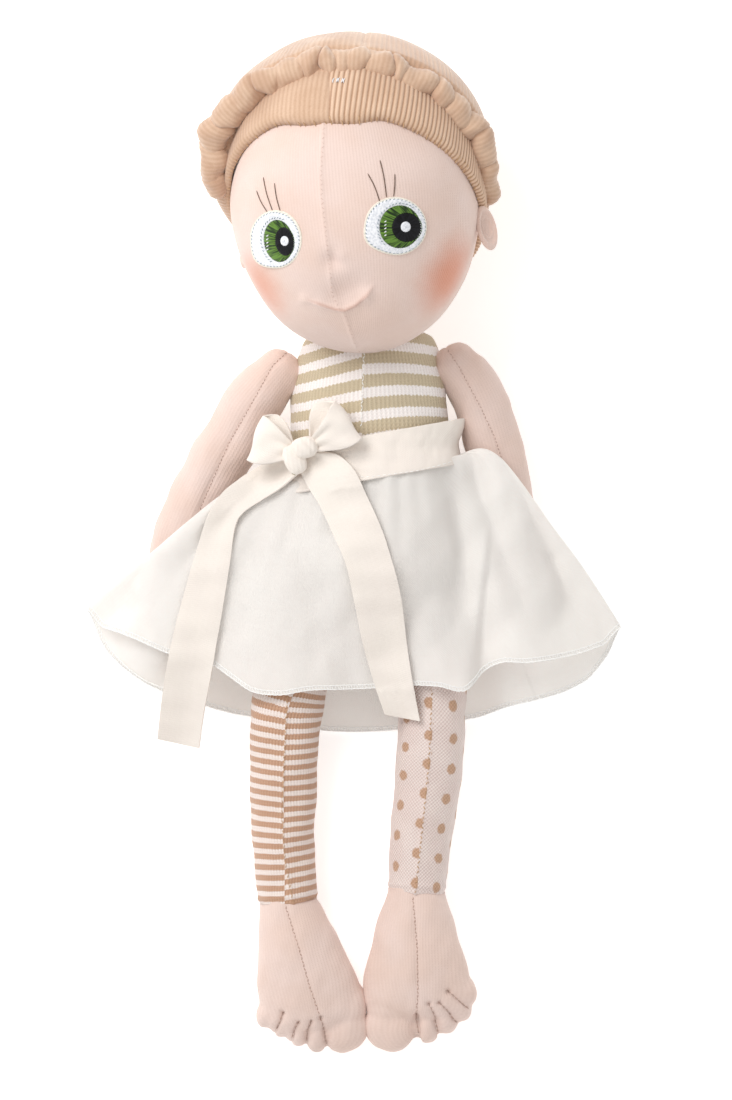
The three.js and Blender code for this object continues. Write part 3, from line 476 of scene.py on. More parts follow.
lawn_paint = woven_paint(shade(255, 252, 248), shade(254, 250, 246), 0.8, 0.12)
sash_paint = woven_paint(shade(245, 237, 228), shade(243, 234, 226), 0.7, 0.14)
green_paint = satin_paint(shade(22, 46, 10), shade(100, 138, 52))
black_paint = satin_paint(shade(3, 3, 5), shade(20, 20, 26))
# Painted light: the lawn glows faintly, which brightens it beyond its lighting.
skirt_lawn = finish_of("skirt_lawn", lawn_paint, thin=0.4, glow=0.03)
sash_cotton = finish_of("sash_cotton", sash_paint)
white_thread = thread("white_thread", (218, 221, 228), (244, 245, 248), 0.45)
green_thread = finish_of("green_thread", green_paint, 0.45, 0.1, 0.1)
black_thread = finish_of("black_thread", black_paint, 0.5, 0.0)
grey_thread = thread("grey_thread", (122, 138, 146), (162, 174, 180))
seam_thread = thread("seam_thread", (204, 176, 164), (222, 198, 187))
skin_thread = thread("skin_thread", (172, 142, 128), (196, 168, 154))
lash_thread = thread("lash_thread", (92, 70, 58), (124, 98, 82))
hem_paint = thread_paint(shade(255, 255, 253), shade(254, 253, 251))
# Painted light: the hem thread glows faintly, here and wherever it is sewn.
hem_thread = finish_of("hem_thread", hem_paint, 0.6, 0.3, thin=0.3, glow=0.08)
tan_thread = thread("tan_thread", (176, 138, 100), (206, 168, 128))
rim_felt = thread("rim_felt", (226, 219, 205), (240, 234, 222), 0.9)
olive_thread = thread("olive_thread", (140, 130, 70), (165, 155, 100))
print("cotton and thread finishes made")

# %% [markdown]
# ## Sums on grids
# Every piece starts as a grid of points, and these few sums are all that its form is made
# of. The last one moves each point along its normal, which is how seams, dimples and lumps
# are pressed in.

# %% Sums on grids
def unit(vectors):
    return vectors / np.maximum(np.linalg.norm(vectors, axis=-1, keepdims=True), 1e-9)


def joined(*axes):
    """Puts grids of x, y and z together as points; a plain number fills a whole grid."""
    return np.stack(np.broadcast_arrays(*axes), axis=-1)


def mix(first, second, share):
    return first + (second - first) * share


def ease(share):
    """A smooth step from 0 to 1."""
    part = np.clip(share, 0, 1)
    return part * part * (3 - 2 * part)


def bell(away, wide):
    """A soft hill, 1 in the middle and near 0 at twice its half width."""
    return np.exp(-((away / wide) ** 2))


def half_round(away):
    """Height of a half circle of radius 1, at a distance from its middle."""
    return np.sqrt(np.clip(1 - away**2, 0, 1))


def round_edge(run):
    """A quarter circle that rises from 0 at an edge to 1."""
    return half_round(1 - np.clip(run, 0, 1))


def turned_flat(x, y, angle):
    """Turns x and y in plan, by radians."""
    return x * math.cos(angle) - y * math.sin(angle), x * math.sin(angle) + y * math.cos(angle)


def round_steps(count):
    """Angles of a full turn, in even steps."""
    return np.linspace(0, TURN, count, endpoint=False)


def looped(grid):
    """A grid of rings with its first column again at the end."""
    return np.concatenate([grid, grid[:, :1]], axis=1)


def grid_normals(points, closed=True):
    if closed:
        round_it = np.roll(points, -1, axis=1) - np.roll(points, 1, axis=1)
    else:
        round_it = np.gradient(points, axis=1)
    return unit(np.cross(round_it, np.gradient(points, axis=0)))


def pressed(points, relief):
    """Moves the points of a grid of rings along its normals."""
    return points + grid_normals(points) * relief[..., None]


print("sums ready")

# %% [markdown]
# ## Lines and rings
# A stuffed limb is a stack of rings on a curved line. The table of rows gives the line, and
# a smooth curve through the rows gives as many rings as the detail needs.

# %% Lines and rings
def rows_at(rows, share):
    """A smooth curve through the rows of a table, read from 0 to 1."""
    rows = np.asarray(rows, float)
    along = np.clip(np.asarray(share, float), 0, 1) * (len(rows) - 1)
    index = np.minimum(along.astype(int), len(rows) - 2)
    part = (along - index)[..., None]
    before, start, stop, after = (rows[np.clip(index + i, 0, len(rows) - 1)] for i in (-1, 0, 1, 2))
    slope_in, slope_out, rise = (stop - before) / 2, (after - start) / 2, stop - start
    square = 3 * rise - 2 * slope_in - slope_out
    return start + part * (slope_in + part * (square + part * (slope_in + slope_out - 2 * rise)))


class Line:
    """A table of rows x, y, z and sizes, read by distance along its curve."""

    def __init__(self, rows, steps=600):
        self.table = rows_at(rows, np.linspace(0, 1, steps + 1))
        gaps = np.linalg.norm(np.diff(self.table[:, :3], axis=0), axis=1)
        self.along = np.concatenate([[0], np.cumsum(gaps)])
        self.long = self.along[-1]

    def at(self, distance):
        distance = np.clip(distance, 0, self.long)
        return joined(*(np.interp(distance, self.along, column) for column in self.table.T))

    def heading(self, distance):
        step = self.long / 200
        ahead = self.at(distance + step)[..., :3] - self.at(distance - step)[..., :3]
        return unit(ahead)


def limb_grid(rows, rings, sides, dome_start, dome_end, dome_rings=12, swell=None):
    """Points of a stuffed limb, ring by ring, with its lay: round it and along it."""
    line = Line(rows)
    angle = np.linspace(0, math.pi / 2, dome_rings + 1)[1:]
    middle = np.linspace(dome_start, line.long - dome_end, rings + 1)[1:-1]
    start = dome_start * (1 - np.cos(angle))
    end = line.long - dome_end * (1 - np.cos(angle[::-1]))
    along = np.concatenate([start, middle, end])
    size = np.concatenate([np.sin(angle), np.ones(len(middle)), np.sin(angle[::-1])])[:, None]
    row = line.at(along)
    centre, half = row[:, :3], row[:, 3:4]
    deep = row[:, 4:5] if row.shape[1] > 4 else half
    heading = line.heading(along)
    across = unit(joined(heading[:, 1], -heading[:, 0], 0.0))
    up = unit(np.cross(across, heading))
    turn = round_steps(sides) - math.pi / 2
    grow = size * (swell(along / line.long, turn) if swell else 1)
    points = centre[:, None] + across[:, None] * (half * grow * np.cos(turn))[..., None]
    points = points + up[:, None] * (deep * grow * np.sin(turn))[..., None]
    girth = float((half.mean() + deep.mean()) / 2)
    edge = np.linspace(0, TURN, sides + 1) - math.pi
    lay = joined(edge * girth, along[:, None], 0.0)
    return points, lay, (line.at(0)[:3], line.at(line.long)[:3])


print("lines and rings ready")

# %% [markdown]
# ## Meshes
# A grid becomes either a closed skin or a sheet with a small real thickness. Both carry
# their place at rest and their flat coordinates, for the finishes to read.

# %% Meshes
def to_mesh(name, points, faces, lay, finish):
    """Makes an object. `lay` has one row for each corner of each face, in order."""
    points = np.asarray(points, float)
    mesh = bpy.data.meshes.new(name)
    mesh.from_pydata((points * MM).tolist(), [], faces)
    mesh.polygons.foreach_set("use_smooth", [True] * len(mesh.polygons))
    place = mesh.attributes.new("place", "FLOAT_VECTOR", "POINT")
    place.data.foreach_set("vector", points.astype(np.float32).ravel())
    layer = mesh.attributes.new("lay", "FLOAT_VECTOR", "CORNER")
    layer.data.foreach_set("vector", np.asarray(lay, np.float32).ravel())
    mesh.update()
    piece = bpy.data.objects.new(name, mesh)
    scene.collection.objects.link(piece)
    mesh.materials.append(finish)
    return piece


def tube_mesh(name, points, lay, finish, ends):
    """A closed skin over rings, drawn to a point at each end."""
    rings, sides = points.shape[:2]
    flat = np.concatenate([points.reshape(-1, 3), np.asarray(ends)])
    faces, corners = [], []

    def face(*places):
        faces.append(tuple(ring * sides + side % sides for ring, side in places))
        corners.extend(lay[ring, side] for ring, side in places)

    for ring in range(rings - 1):
        for side in range(sides):
            face((ring, side), (ring + 1, side), (ring + 1, side + 1), (ring, side + 1))
    for pole, ring in ((rings * sides, 0), (rings * sides + 1, rings - 1)):
        for side in range(sides):
            first, second = (side, side + 1) if ring == 0 else (side + 1, side)
            faces.append((pole, ring * sides + first % sides, ring * sides + second % sides))
            corners += [lay[ring, side], lay[ring, first], lay[ring, second]]
    piece = to_mesh(name, flat, faces, corners, finish)
    outward(piece)
    return piece


def outward(piece):
    """Turns all faces outwards."""
    built = bmesh.new()
    built.from_mesh(piece.data)
    bmesh.ops.recalc_face_normals(built, faces=built.faces)
    built.to_mesh(piece.data)
    built.free()


def sheet_mesh(name, rows, thick, lay, finish, closed=False):
    """Cloth of a small real thickness over a grid of points."""
    rows = np.asarray(rows, float)
    count, wide = rows.shape[:2]
    normals = grid_normals(rows, closed) * (thick / 2)
    points = np.concatenate([(rows + normals).reshape(-1, 3), (rows - normals).reshape(-1, 3)])
    under = count * wide
    spans = wide if closed else wide - 1
    faces, corners = [], []

    def quad(*places):
        faces.append(tuple(row * wide + side % wide + low * under for row, side, low in places))
        corners.extend(lay[row, side] for row, side, _ in places)

    for row in range(count - 1):
        for side in range(spans):
            quad((row, side, 0), (row + 1, side, 0), (row + 1, side + 1, 0), (row, side + 1, 0))
            quad((row, side, 1), (row, side + 1, 1), (row + 1, side + 1, 1), (row + 1, side, 1))
    end, edge = count - 1, wide - 1
    for side in range(spans):
        quad((0, side, 0), (0, side + 1, 0), (0, side + 1, 1), (0, side, 1))
        quad((end, side, 0), (end, side, 1), (end, side + 1, 1), (end, side + 1, 0))
    for row in range(0 if closed else count - 1):
        quad((row, 0, 0), (row, 0, 1), (row + 1, 0, 1), (row + 1, 0, 0))
        quad((row, edge, 0), (row + 1, edge, 0), (row + 1, edge, 1), (row, edge, 1))
    piece = to_mesh(name, points, faces, corners, finish)
    outward(piece)
    return piece


print("meshes ready")

# %% [markdown]
# ## Relief
# Stuffing is never even, so soft lumps move the skin a fraction of a millimetre. They come
# from a few sine waves with set directions, which give the same lumps each time. A seam is
# a narrow groove along a path, found by the distance in plan from each point to the path.

# %% Lumps and grooves
def lumps(points, size, deep, seed):
    fixed = np.random.default_rng(seed)
    total = np.zeros(points.shape[:-1])
    for _ in range(7):
        direction = unit(fixed.normal(size=3)) * TURN / (size * fixed.uniform(0.7, 1.5))
        total += np.sin(points @ direction + fixed.uniform(0, TURN))
    return total / 7 * deep * 1.8


def from_path(points, path):
    """Distance in plan from each point to a path, and how far along it that is."""
    path = np.asarray(path, float)[:, :2]
    best = np.full(points.shape[:-1], 1e9)
    where = np.zeros(points.shape[:-1])
    done = 0.0
    for a, b in zip(path[:-1], path[1:]):
        long = float(np.linalg.norm(b - a))
        run = np.clip(((points[..., :2] - a) @ (b - a)) / long**2, 0, 1)
        away = np.linalg.norm(points[..., :2] - (a + run[..., None] * (b - a)), axis=-1)
        nearer = away < best
        best = np.where(nearer, away, best)
        where = np.where(nearer, done + run * long, where)
        done += long
    return best, where / done


def groove(points, path, wide, deep, fade=0.0):
    away, where = from_path(points, path)
    ends = np.ones_like(where)
    if fade:
        ends = np.clip(where / fade, 0, 1) * np.clip((1 - where) / fade, 0, 1)
    return -deep * ends * bell(away, wide)


def seam_groove(points, path, wide, deep, soft_wide, soft_deep):
    """A seam: a sharp groove in a wider, softer one."""
    return groove(points, path, wide, deep) + groove(points, path, soft_wide, soft_deep)


def bump(points, at, wide, high):
    return high * bell(np.linalg.norm(points[..., : len(at)] - np.asarray(at), axis=-1), wide)


photo_scale, photo_middle = 0.3418, (355, 544)


def photo(*pixels):
    """Places read off the photograph, in its own pixels, as millimetres in plan."""
    middle_x, middle_y = photo_middle
    return [((x - middle_x) * photo_scale, (middle_y - y) * photo_scale) for x, y in pixels]


print("relief ready")

# %% [markdown]
# ## Threads
# A stitch is a short bent tube, half sunk in the cloth. `Threads` gathers many of them in one
# mesh, and `Surface` tells where the cloth is, by looking straight down on it.

# %% Threads laid on cloth
class Surface:
    """The top of a finished piece, found by looking down on it."""

    def __init__(self, *pieces):
        points, faces = [], []
        for piece in pieces:
            first = len(points)
            points += [vertex.co / MM for vertex in piece.data.vertices]
            faces += [tuple(first + i for i in face.vertices) for face in piece.data.polygons]
        self.tree = BVHTree.FromPolygons(points, faces)

    def at(self, x, y, from_height=200.0):
        hit, normal, _, _ = self.tree.ray_cast(Vector((x, y, from_height)), Vector((0, 0, -1)))
        if hit is None:
            return None, None
        return np.array(hit), np.array(normal if normal.z > 0 else -normal)


class Threads:
    """Many short tubes in one mesh."""

    def __init__(self, half, sides=6):
        self.half, self.sides = half, sides
        self.points, self.faces, self.lay = [], [], []

    def add(self, path, half=None):
        path = np.asarray(path, float)
        if len(path) < 2:
            return
        half = half or self.half
        heading = unit(np.gradient(path, axis=0))
        side = np.cross(heading[0], (0, 0, 1.0))
        if np.linalg.norm(side) < 1e-3:
            side = np.array([1.0, 0, 0])
        first = len(self.points)
        turn = round_steps(self.sides)
        last = len(path) - 1
        for index, (point, ahead) in enumerate(zip(path, heading)):
            side = unit(side - (side @ ahead) * ahead)
            up = np.cross(side, ahead)
            taper = 0.45 if index in (0, last) else 1.0
            for angle in turn:
                spoke = side * math.cos(angle) + up * math.sin(angle)
                self.points.append(point + spoke * half * taper)
        for ring in range(last):
            low, high = first + ring * self.sides, first + (ring + 1) * self.sides
            for s in range(self.sides):
                after = (s + 1) % self.sides
                self.faces.append((low + s, low + after, high + after, high + s))
        end = first + last * self.sides
        self.faces.append(tuple(first + s for s in reversed(range(self.sides))))
        self.faces.append(tuple(end + s for s in range(self.sides)))

    def build(self, name, finish):
        corners = sum(len(face) for face in self.faces)
        piece = to_mesh(name, self.points, self.faces, np.zeros((corners, 3)), finish)
        outward(piece)
        return piece


def walk(path, gap):
    """Places along a path in plan, each with its heading, about gap apart."""
    path = np.asarray(path, float)
    gaps = np.linalg.norm(np.diff(path, axis=0), axis=1)
    along = np.concatenate([[0], np.cumsum(gaps)])
    count = max(2, int(round(along[-1] / gap)) + 1)
    spots = np.linspace(0, along[-1], count)
    line = joined(*(np.interp(spots, along, column) for column in path.T))
    return line, unit(np.gradient(line, axis=0))


def run_stitches(threads, surface, path, gap, long, zigzag=0.0, high=0.12):
    """Running stitches along a path in plan, straight or in a zigzag."""
    line, heading = walk(path, gap)
    for index, (spot, ahead) in enumerate(zip(line, heading)):
        aside = np.array([-ahead[1], ahead[0]])
        swing = zigzag if index % 2 else -zigzag
        start = spot - ahead * long / 2 - aside * swing
        end = spot + ahead * long / 2 + aside * swing
        bent = []
        for share in (0, 0.25, 0.5, 0.75, 1):
            x, y = start + (end - start) * share
            hit, normal = surface.at(x, y)
            if hit is None:
                break
            bent.append(hit + normal * (math.sin(share * math.pi) * high + (high - 0.1) * 0.5))
        if len(bent) == 5:
            threads.add(bent)


def sew(name, body, finish, half, surface, *runs):
    """Sews along paths and lets the thread ride on a body. A run is a path and its stitches."""
    threads = Threads(half)
    for path, *stitches in runs:
        run_stitches(threads, surface, path, *stitches)
    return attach(threads.build(name, finish), body)


print("threads ready")

# %% [markdown]
# ## Head
# The real head is a stuffed ball of jersey with one seam down the middle of the face. It is
# turned a little, so the seam runs left of the middle. The nose is a pinch of stuffing, and
# the mouth is one long stitch pulled tight inside, which draws the skin into a smile. A ball
# of fine rings takes all of this as relief, since nothing overhangs.

# %% Head
head_centre = np.array([0.0, 115.9, 43.0])
head_wide, head_long = 42.4, 50.9
head_tilt = math.radians(6)
head_across = np.array([math.cos(head_tilt), math.sin(head_tilt), 0])
head_along = np.array([-math.sin(head_tilt), math.cos(head_tilt), 0])
head_out = np.array([0, 0, 1.0])
table_gap = 0.25


def off_table(points, gap=table_gap):
    """Keeps points from sinking into the table."""
    points[..., 2] = np.maximum(points[..., 2], gap)
    return points


def ball_grid(centre, halves, rings, sides):
    """Rings of a ball whose halves are wide, down, up, front and back, on the head's axes."""
    polar = np.linspace(0, math.pi, rings + 2)[1:-1][:, None]
    turn = round_steps(sides) - math.pi / 2
    x = np.sin(polar) * np.cos(turn) * halves["wide"]
    y, z = -np.cos(polar), np.sin(polar) * np.sin(turn)
    y = y * np.where(y > 0, halves["up"], halves["down"])
    z = z * np.where(z > 0, halves["front"], halves["back"])
    points = centre + joined(x, y, z) @ np.array([head_across, head_along, head_out])
    edge = np.linspace(0, TURN, sides + 1) - math.pi
    lay = joined(edge * halves["wide"], polar * halves["up"], 0.0)
    return points, lay, [centre - head_along * halves["down"], centre + head_along * halves["up"]]


head_halves = {name: head_wide for name in ("wide", "front", "back")}
head_halves |= {name: head_long for name in ("up", "down")}
face_seam = photo((325, 112), (321, 174), (322, 200), (327, 245), (330, 272), (332, 295), (339, 309))
face_seam += photo((345, 316), (354, 343), (361, 356))
smile = photo((305, 300), (316, 303.5), (334, 310), (345, 311.5), (355.7, 306.6), (366.4, 297), (375, 285))


def face_relief(points):
    front = np.clip((points[..., 2] - head_centre[2]) / 12, 0, 1)
    nose_at, nose_side = photo((333, 262))[0], photo((340, 258))[0]
    total = bump(points, nose_at, 3.4, 2.4) + bump(points, nose_side, 2.4, -1.0)
    total += groove(points, smile, 0.7, 0.9, 0.15) + groove(points, smile, 2.6, 0.7, 0.2)
    cheek_fold, lip, chin = photo((352, 293))[0], photo((336, 299))[0], photo((346, 330))[0]
    total += bump(points, cheek_fold, 6.5, 1.5) + bump(points, lip, 4.5, 1.0)
    total += bump(points, chin, 9.0, 0.8)
    total += bump(points, smile[0], 1.8, -0.8) + bump(points, smile[-2], 2.0, -0.9)
    total += seam_groove(points, face_seam, 0.75, 0.42, 3.0, 0.25)
    return total * front + lumps(points, 26.0, 0.35, 3)


head_points, head_lay, head_ends = ball_grid(head_centre, head_halves, 300, 380)
head_points = pressed(head_points, face_relief(head_points))
# Painted shade along the mouth crease, kept in the third number of the head's lay.
crease = -groove(head_points, smile, 0.5, 0.55, 0.2) * (head_points[..., 2] > head_centre[2])
head_lay[..., 2] = looped(crease)
head = tube_mesh("head_skin", head_points, head_lay, face_jersey, head_ends)
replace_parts(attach(head, "head_and_hair"), "head")
face = Surface(head)
print("head:", len(head.data.polygons), "faces")

# %% [markdown]
# ## The seam of the face
# The seam is closed with a thin thread in small slanting stitches, a shade darker than the
# skin. They are real threads, because a painted line would lose its shadow.

# %% Face seam
face_stitches = (face_seam, 1.6, 0.7, 0.4, 0.06)
seam_line = sew("face_seam_thread", "head_and_hair", seam_thread, 0.11, face, face_stitches)
print("face seam:", len(seam_line.data.vertices), "points")

# %% [markdown]
# ## Lashes
# Each eye has three lashes, single lines of brown thread that fan out over it.

# %% Lashes
lash_paths = [
    [(257.1, 192), (261.5, 203), (267.9, 213.4)],
    [(263.8, 178.6), (267.2, 195), (273, 212)],
    [(275, 184.6), (276.8, 198), (280.7, 212.5)],
    [(367.7, 175.4), (374.4, 188), (379.8, 203.6)],
    [(379.9, 162), (383.6, 178), (386.4, 199)],
    [(394.6, 175.7), (394.6, 187), (393.4, 198.2)],
]
lashes = Threads(0.2)
for pixels in lash_paths:
    line, _ = walk(rows_at(photo(*pixels), np.linspace(0, 1, 12)), 0.7)
    lashes.add([face.at(x, y)[0] + face.at(x, y)[1] * 0.1 for x, y in line])
lash_piece = lashes.build("lashes", lash_thread)
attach(lash_piece, "head_and_hair")
print("lashes:", len(lash_paths))

# %% [markdown]
# ## Pads of satin stitch
# Each field of an eye is a low pad of threads between an inner and an outer outline, and its
# ridges are in the mesh.

# %% Pads of satin stitch
def oval(at, half, lean, corner=0.0, more=0.0, count=144):
    """An oval outline; corner swells it at the lower left, where the patch is fullest."""
    turn = round_steps(count)
    swell = 1 + corner * bell(turn - math.radians(218), 0.42)
    x = (half[0] + more) * swell * np.cos(turn)
    y = (half[1] + more) * swell * np.sin(turn)
    return np.array(at) + joined(*turned_flat(x, y, math.radians(lean)))


def on_face(flat, lift):
    """Points in plan set on the plain ball of the head, lifted along its normal."""
    local = flat - head_centre[:2]
    across = local @ head_across[:2] / head_wide
    along = local @ head_along[:2] / head_long
    out = np.sqrt(np.maximum(0.02, 1 - across**2 - along**2))
    points = np.concatenate([flat, (head_centre[2] + out * head_wide)[..., None]], axis=-1)
    local = joined(across / head_wide, along / head_long, out / head_wide)
    normal = unit(local @ np.array([head_across, head_along, head_out]))
    return points + normal * np.asarray(lift)[..., None]


def thread_pad(name, inner, outer, base, dome, stitches, finish, slant=0.0, rings=16):
    """A low pad of satin stitches between two outlines; inner may be a single point."""
    share = np.linspace(0, 1, rings + 1)[:, None]
    count = len(outer)
    turn = round_steps(count)
    flat = inner[None] * (1 - share[..., None]) + outer[None] * share[..., None]
    is_disc = len(np.unique(inner, axis=0)) == 1
    from_crest = share if is_disc else 2 * share - 1
    arch = np.sqrt(np.clip(1 - from_crest**4, 0, 1))
    ridge = 0.07 * np.abs(np.sin((turn + slant * share) * stitches / 2))
    top = on_face(flat, base + arch * dome + ridge * (0.3 + arch))
    bottom = on_face(flat, np.full((rings + 1, count), -0.5))
    rows = np.concatenate([bottom[:1], top, bottom[-1:]])
    lay = joined(np.linspace(0, stitches, count + 1), np.linspace(0, 1, len(rows))[:, None], 0.0)
    first = rows[0].mean(axis=0)
    last = on_face(outer.mean(axis=0)[None], np.array([-1.5]))[0]
    piece = tube_mesh(name, rows, lay, finish, [first, last])
    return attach(piece, "head_and_hair")


def grown_over(outline, at, half, lean):
    """An outline pushed out to where it lies inside an oval."""
    away = outline - np.array(at)
    across, along = turned_flat(*away.T, -math.radians(lean))
    inside = np.maximum(1.0, 1.02 / np.sqrt((across / half[0]) ** 2 + (along / half[1]) ** 2))
    return np.array(at) + away * inside[:, None]


print("pads ready")

# %% [markdown]
# ## Eyes
# Each eye is a patch of satin stitch on a felt backing: white round a green iris, a black
# pupil and a white glint.

# %% Eye fields
eyes = {
    "left": {
        "lean": 8,
        "patch": ((-26.7, 103.8), (8.2, 9.3)),
        "iris": ((-25.7, 103.3), (4.9, 7.1)),
        "pupil": ((-23.5, 103.1), (3.2, 4.8)),
        "glint": ((-23.6, 103.3), (1.4, 1.7)),
    },
    "right": {
        "lean": -8,
        "patch": ((13.8, 108.2), (10.0, 9.3)),
        "iris": ((15.0, 108.0), (6.7, 7.2)),
        "pupil": ((17.4, 107.8), (4.9, 4.9)),
        "glint": ((17.0, 108.0), (1.7, 1.8)),
    },
}
patch_corner = 0.11
pad_base, pad_step, pad_dome = 0.42, 0.06, 0.3
# thread, its slot, how many stitches round
fields = {
    "patch": (white_thread, "white_thread", 72),
    "iris": (green_thread, "green_thread", 56),
    "pupil": (black_thread, "black_thread", 36),
    "glint": (white_thread, "white_thread", 16),
}
for side, eye in eyes.items():
    for index, (field, (yarn, slot, stitches)) in enumerate(fields.items()):
        at, half = eye[field]
        outer = oval(at, half, eye["lean"], patch_corner if field == "patch" else 0.0)
        if field == "glint":
            inner = np.repeat([at], len(outer), axis=0)
        else:
            inner = oval(*eye[list(fields)[index + 1]], eye["lean"], 0, -0.1)
        if field == "iris":
            outer = grown_over(outer, *eye["pupil"], eye["lean"])
        if field in ("iris", "pupil"):
            teeth = np.abs(np.sin(round_steps(len(outer)) * stitches / 2))
            outer = outer + unit(outer - np.array(at)) * (teeth * 0.35 - 0.15)[:, None]
        node = f"{field}_{side}" if field != "patch" else f"eye_patch_{side}"
        base = pad_base + index * pad_step
        pad = thread_pad(f"{node}_thread", inner, outer, base, pad_dome, stitches, yarn, 0.5)
        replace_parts(pad, node)
print("eye fields:", len(eyes) * len(fields))

# %% [markdown]
# ## Edges of the eyes
# A felt rim peeps out round each patch, grey dashes mark where the needle went in, and a few
# pale bars on the iris catch the light.

# %% Eye edges
stitch_bow = np.sin(np.linspace(0.3, 2.8, 4))
stitch_run = np.linspace(-1, 1, 4)[:, None]
for side, eye in eyes.items():
    at, half = eye["patch"]
    rim_ovals = [oval(at, half, eye["lean"], patch_corner, more) for more in (-0.5, 0.55)]
    rim = thread_pad(f"eye_rim_{side}", *rim_ovals, 0.2, 0.25, 8, rim_felt, rings=8)
    dashes, ticks = Threads(0.15), Threads(0.14)
    iris_at, iris_half = eye["iris"]
    outer_row = oval(at, half, eye["lean"], patch_corner, -0.25, 46)
    inner_row = oval(iris_at, iris_half, eye["lean"], 0, 0.75, 40)
    for ring, first, last, long, base in ((outer_row, 0, 46, 0.75, 0.42), (inner_row, 7, 27, 0.6, 0.67)):
        for index in range(first, last):
            ahead = unit(ring[(index + 1) % len(ring)] - ring[index - 1])
            aside = np.array([-ahead[1], ahead[0]])
            path = ring[index] + (ahead * long / 2 + aside * 0.2) * stitch_run
            dashes.add(on_face(path, base + 0.32 * stitch_bow))
    for index in range(5):
        middle = np.array([iris_at[0] - iris_half[0] * 0.72, iris_at[1] + 1.8 - index * 1.15])
        ticks.add(on_face(middle + stitch_run * (0.35, 0.24), 0.75 + 0.2 * stitch_bow), 0.2)
    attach(dashes.build(f"eye_dashes_{side}", grey_thread), "head_and_hair")
    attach(ticks.build(f"eye_ticks_{side}", white_thread), "head_and_hair")
print("eye edges made")

# %% [markdown]
# ## Edges on the head
# The band, the roll and the cap end where a sloping plane cuts a ball. Where a ray leaves
# the ball, and where the ball passes behind a plane, is found by halving, because the tilted
# ball gives no simple sum for it.

# %% Edges on the head
hair_plane = {"share": (0, 0.5835, 0.7854), "slope": (0.17, 1.13)}
roll_plane = {"share": (0, 0.9587, 0.4788), "slope": (0.05, 0.51)}
place_scale = np.array([head_wide, head_long, head_wide])
crown_centre = np.array([-2.0, 131.3, 43.0])
crown_halves = {"wide": 48.4, "up": 43.7, "down": 72.0, "front": 41.0, "back": 43.5}


def before_plane(points, plane):
    """How far points lie in front of a sloping plane, along z."""
    x, y, z = head_centre + np.array(plane["share"]) * place_scale
    slope_x, slope_y = plane["slope"]
    return points[..., 2] - (z + slope_x * (points[..., 0] - x) + slope_y * (points[..., 1] - y))


def out_of_ball(points, centre, halves):
    """Above 0 outside a ball, below 0 inside."""
    local = points - centre
    x, y, z = local @ head_across, local @ head_along, local @ head_out
    along = y / np.where(y > 0, halves["up"], halves["down"])
    out = z / np.where(z > 0, halves["front"], halves["back"])
    return (x / halves["wide"]) ** 2 + along**2 + out**2 - 1


def cast(directions, centre, halves, growth=0.0):
    """Where rays from the head's centre leave a ball, found by halving."""
    grown = {key: value + growth for key, value in halves.items()}
    low, high = np.zeros(directions.shape[:-1]), np.full(directions.shape[:-1], 140.0)
    for _ in range(34):
        middle = (low + high) / 2
        outside = out_of_ball(head_centre + directions * middle[..., None], centre, grown) > 0
        low, high = np.where(outside, low, middle), np.where(outside, middle, high)
    return head_centre + directions * low[..., None]


def directions_round(axis, turn, lean):
    """Rays that lean off an axis, turned round it."""
    side = unit(np.cross((0, 1.0, 0), axis))
    up = np.cross(axis, side)
    spoke = np.cos(turn)[..., None] * side + np.sin(turn)[..., None] * up
    return np.cos(lean)[..., None] * axis + np.sin(lean)[..., None] * spoke


def edge_lean(turn, in_front):
    """The lean from the axis where the surface passes behind an edge."""
    low, high = np.zeros_like(turn), np.full_like(turn, math.pi)
    for _ in range(30):
        middle = (low + high) / 2
        front = in_front(turn, middle)
        low, high = np.where(front, middle, low), np.where(front, high, middle)
    return low


print("edges ready")

# %% [markdown]
# ## Hair band
# The rib knit starts at the hairline and runs back under the roll. Its ribs stand square to
# the hairline, so the grid is turned to the hairline's own axis: each line of the grid is a
# rib, and the first ring is the folded edge.

# %% Band
band_grown = 2.2
band_halves = dict(head_halves, up=(head_long + band_grown) * 1.035 - band_grown)
hair_axis = unit(np.array([-0.17, -1.13, 1.0]))
ribs, rib_points, band_rings = 172, 7, 44
band_turn = round_steps(ribs * rib_points) + math.pi / 2
flat_middle, flat_wide, flat_low = -9.0, 15.0, 6.5
brow_y = 120
band_seam_at, band_round, band_tall, band_thick = -8.5, 250, 30, 0.5


def band_ball(turn, lean):
    return cast(directions_round(hair_axis, turn, lean), head_centre, band_halves, band_grown)


def before_hairline(turn, lean):
    """In front of the hairline, which is pressed flat and lower above the nose."""
    points = band_ball(turn, lean)
    lowered = flat_low * np.exp(-(((points[..., 0] - flat_middle) / flat_wide) ** 4))
    return before_plane(points, hair_plane) > lowered * (points[..., 1] > brow_y)


def before_roll(turn, lean):
    return before_plane(band_ball(turn, lean), roll_plane) > -3.5


hair_edge = edge_lean(band_turn, before_hairline)
far_edge = np.maximum(edge_lean(band_turn, before_roll), hair_edge) + 0.12
share = np.linspace(0, 1, band_rings + 1)[:, None]
lean = mix(hair_edge, far_edge, share)
turns = np.broadcast_to(band_turn, lean.shape)
surface_in = cast(directions_round(hair_axis, turns, lean), head_centre, head_halves, 0.05)
band_points = mix(surface_in, band_ball(turns, lean), round_edge(share / 0.07)[..., None])
rib_wave = np.cos(turns * ribs)
from_seam = band_points[..., 0] - band_seam_at
fan = np.clip(from_seam / 1.6 + 0.5, 0, 1) * 0.75 + 0.25
band_relief = rib_wave * 0.2 * fan * np.clip(share / 0.04, 0, 1)
band_relief += -0.6 * bell(from_seam, 0.7) * (band_points[..., 1] > brow_y)
band_relief += lumps(band_points, 18, 0.25, 5)
band_points = off_table(band_points + unit(band_points - head_centre) * band_relief[..., None])
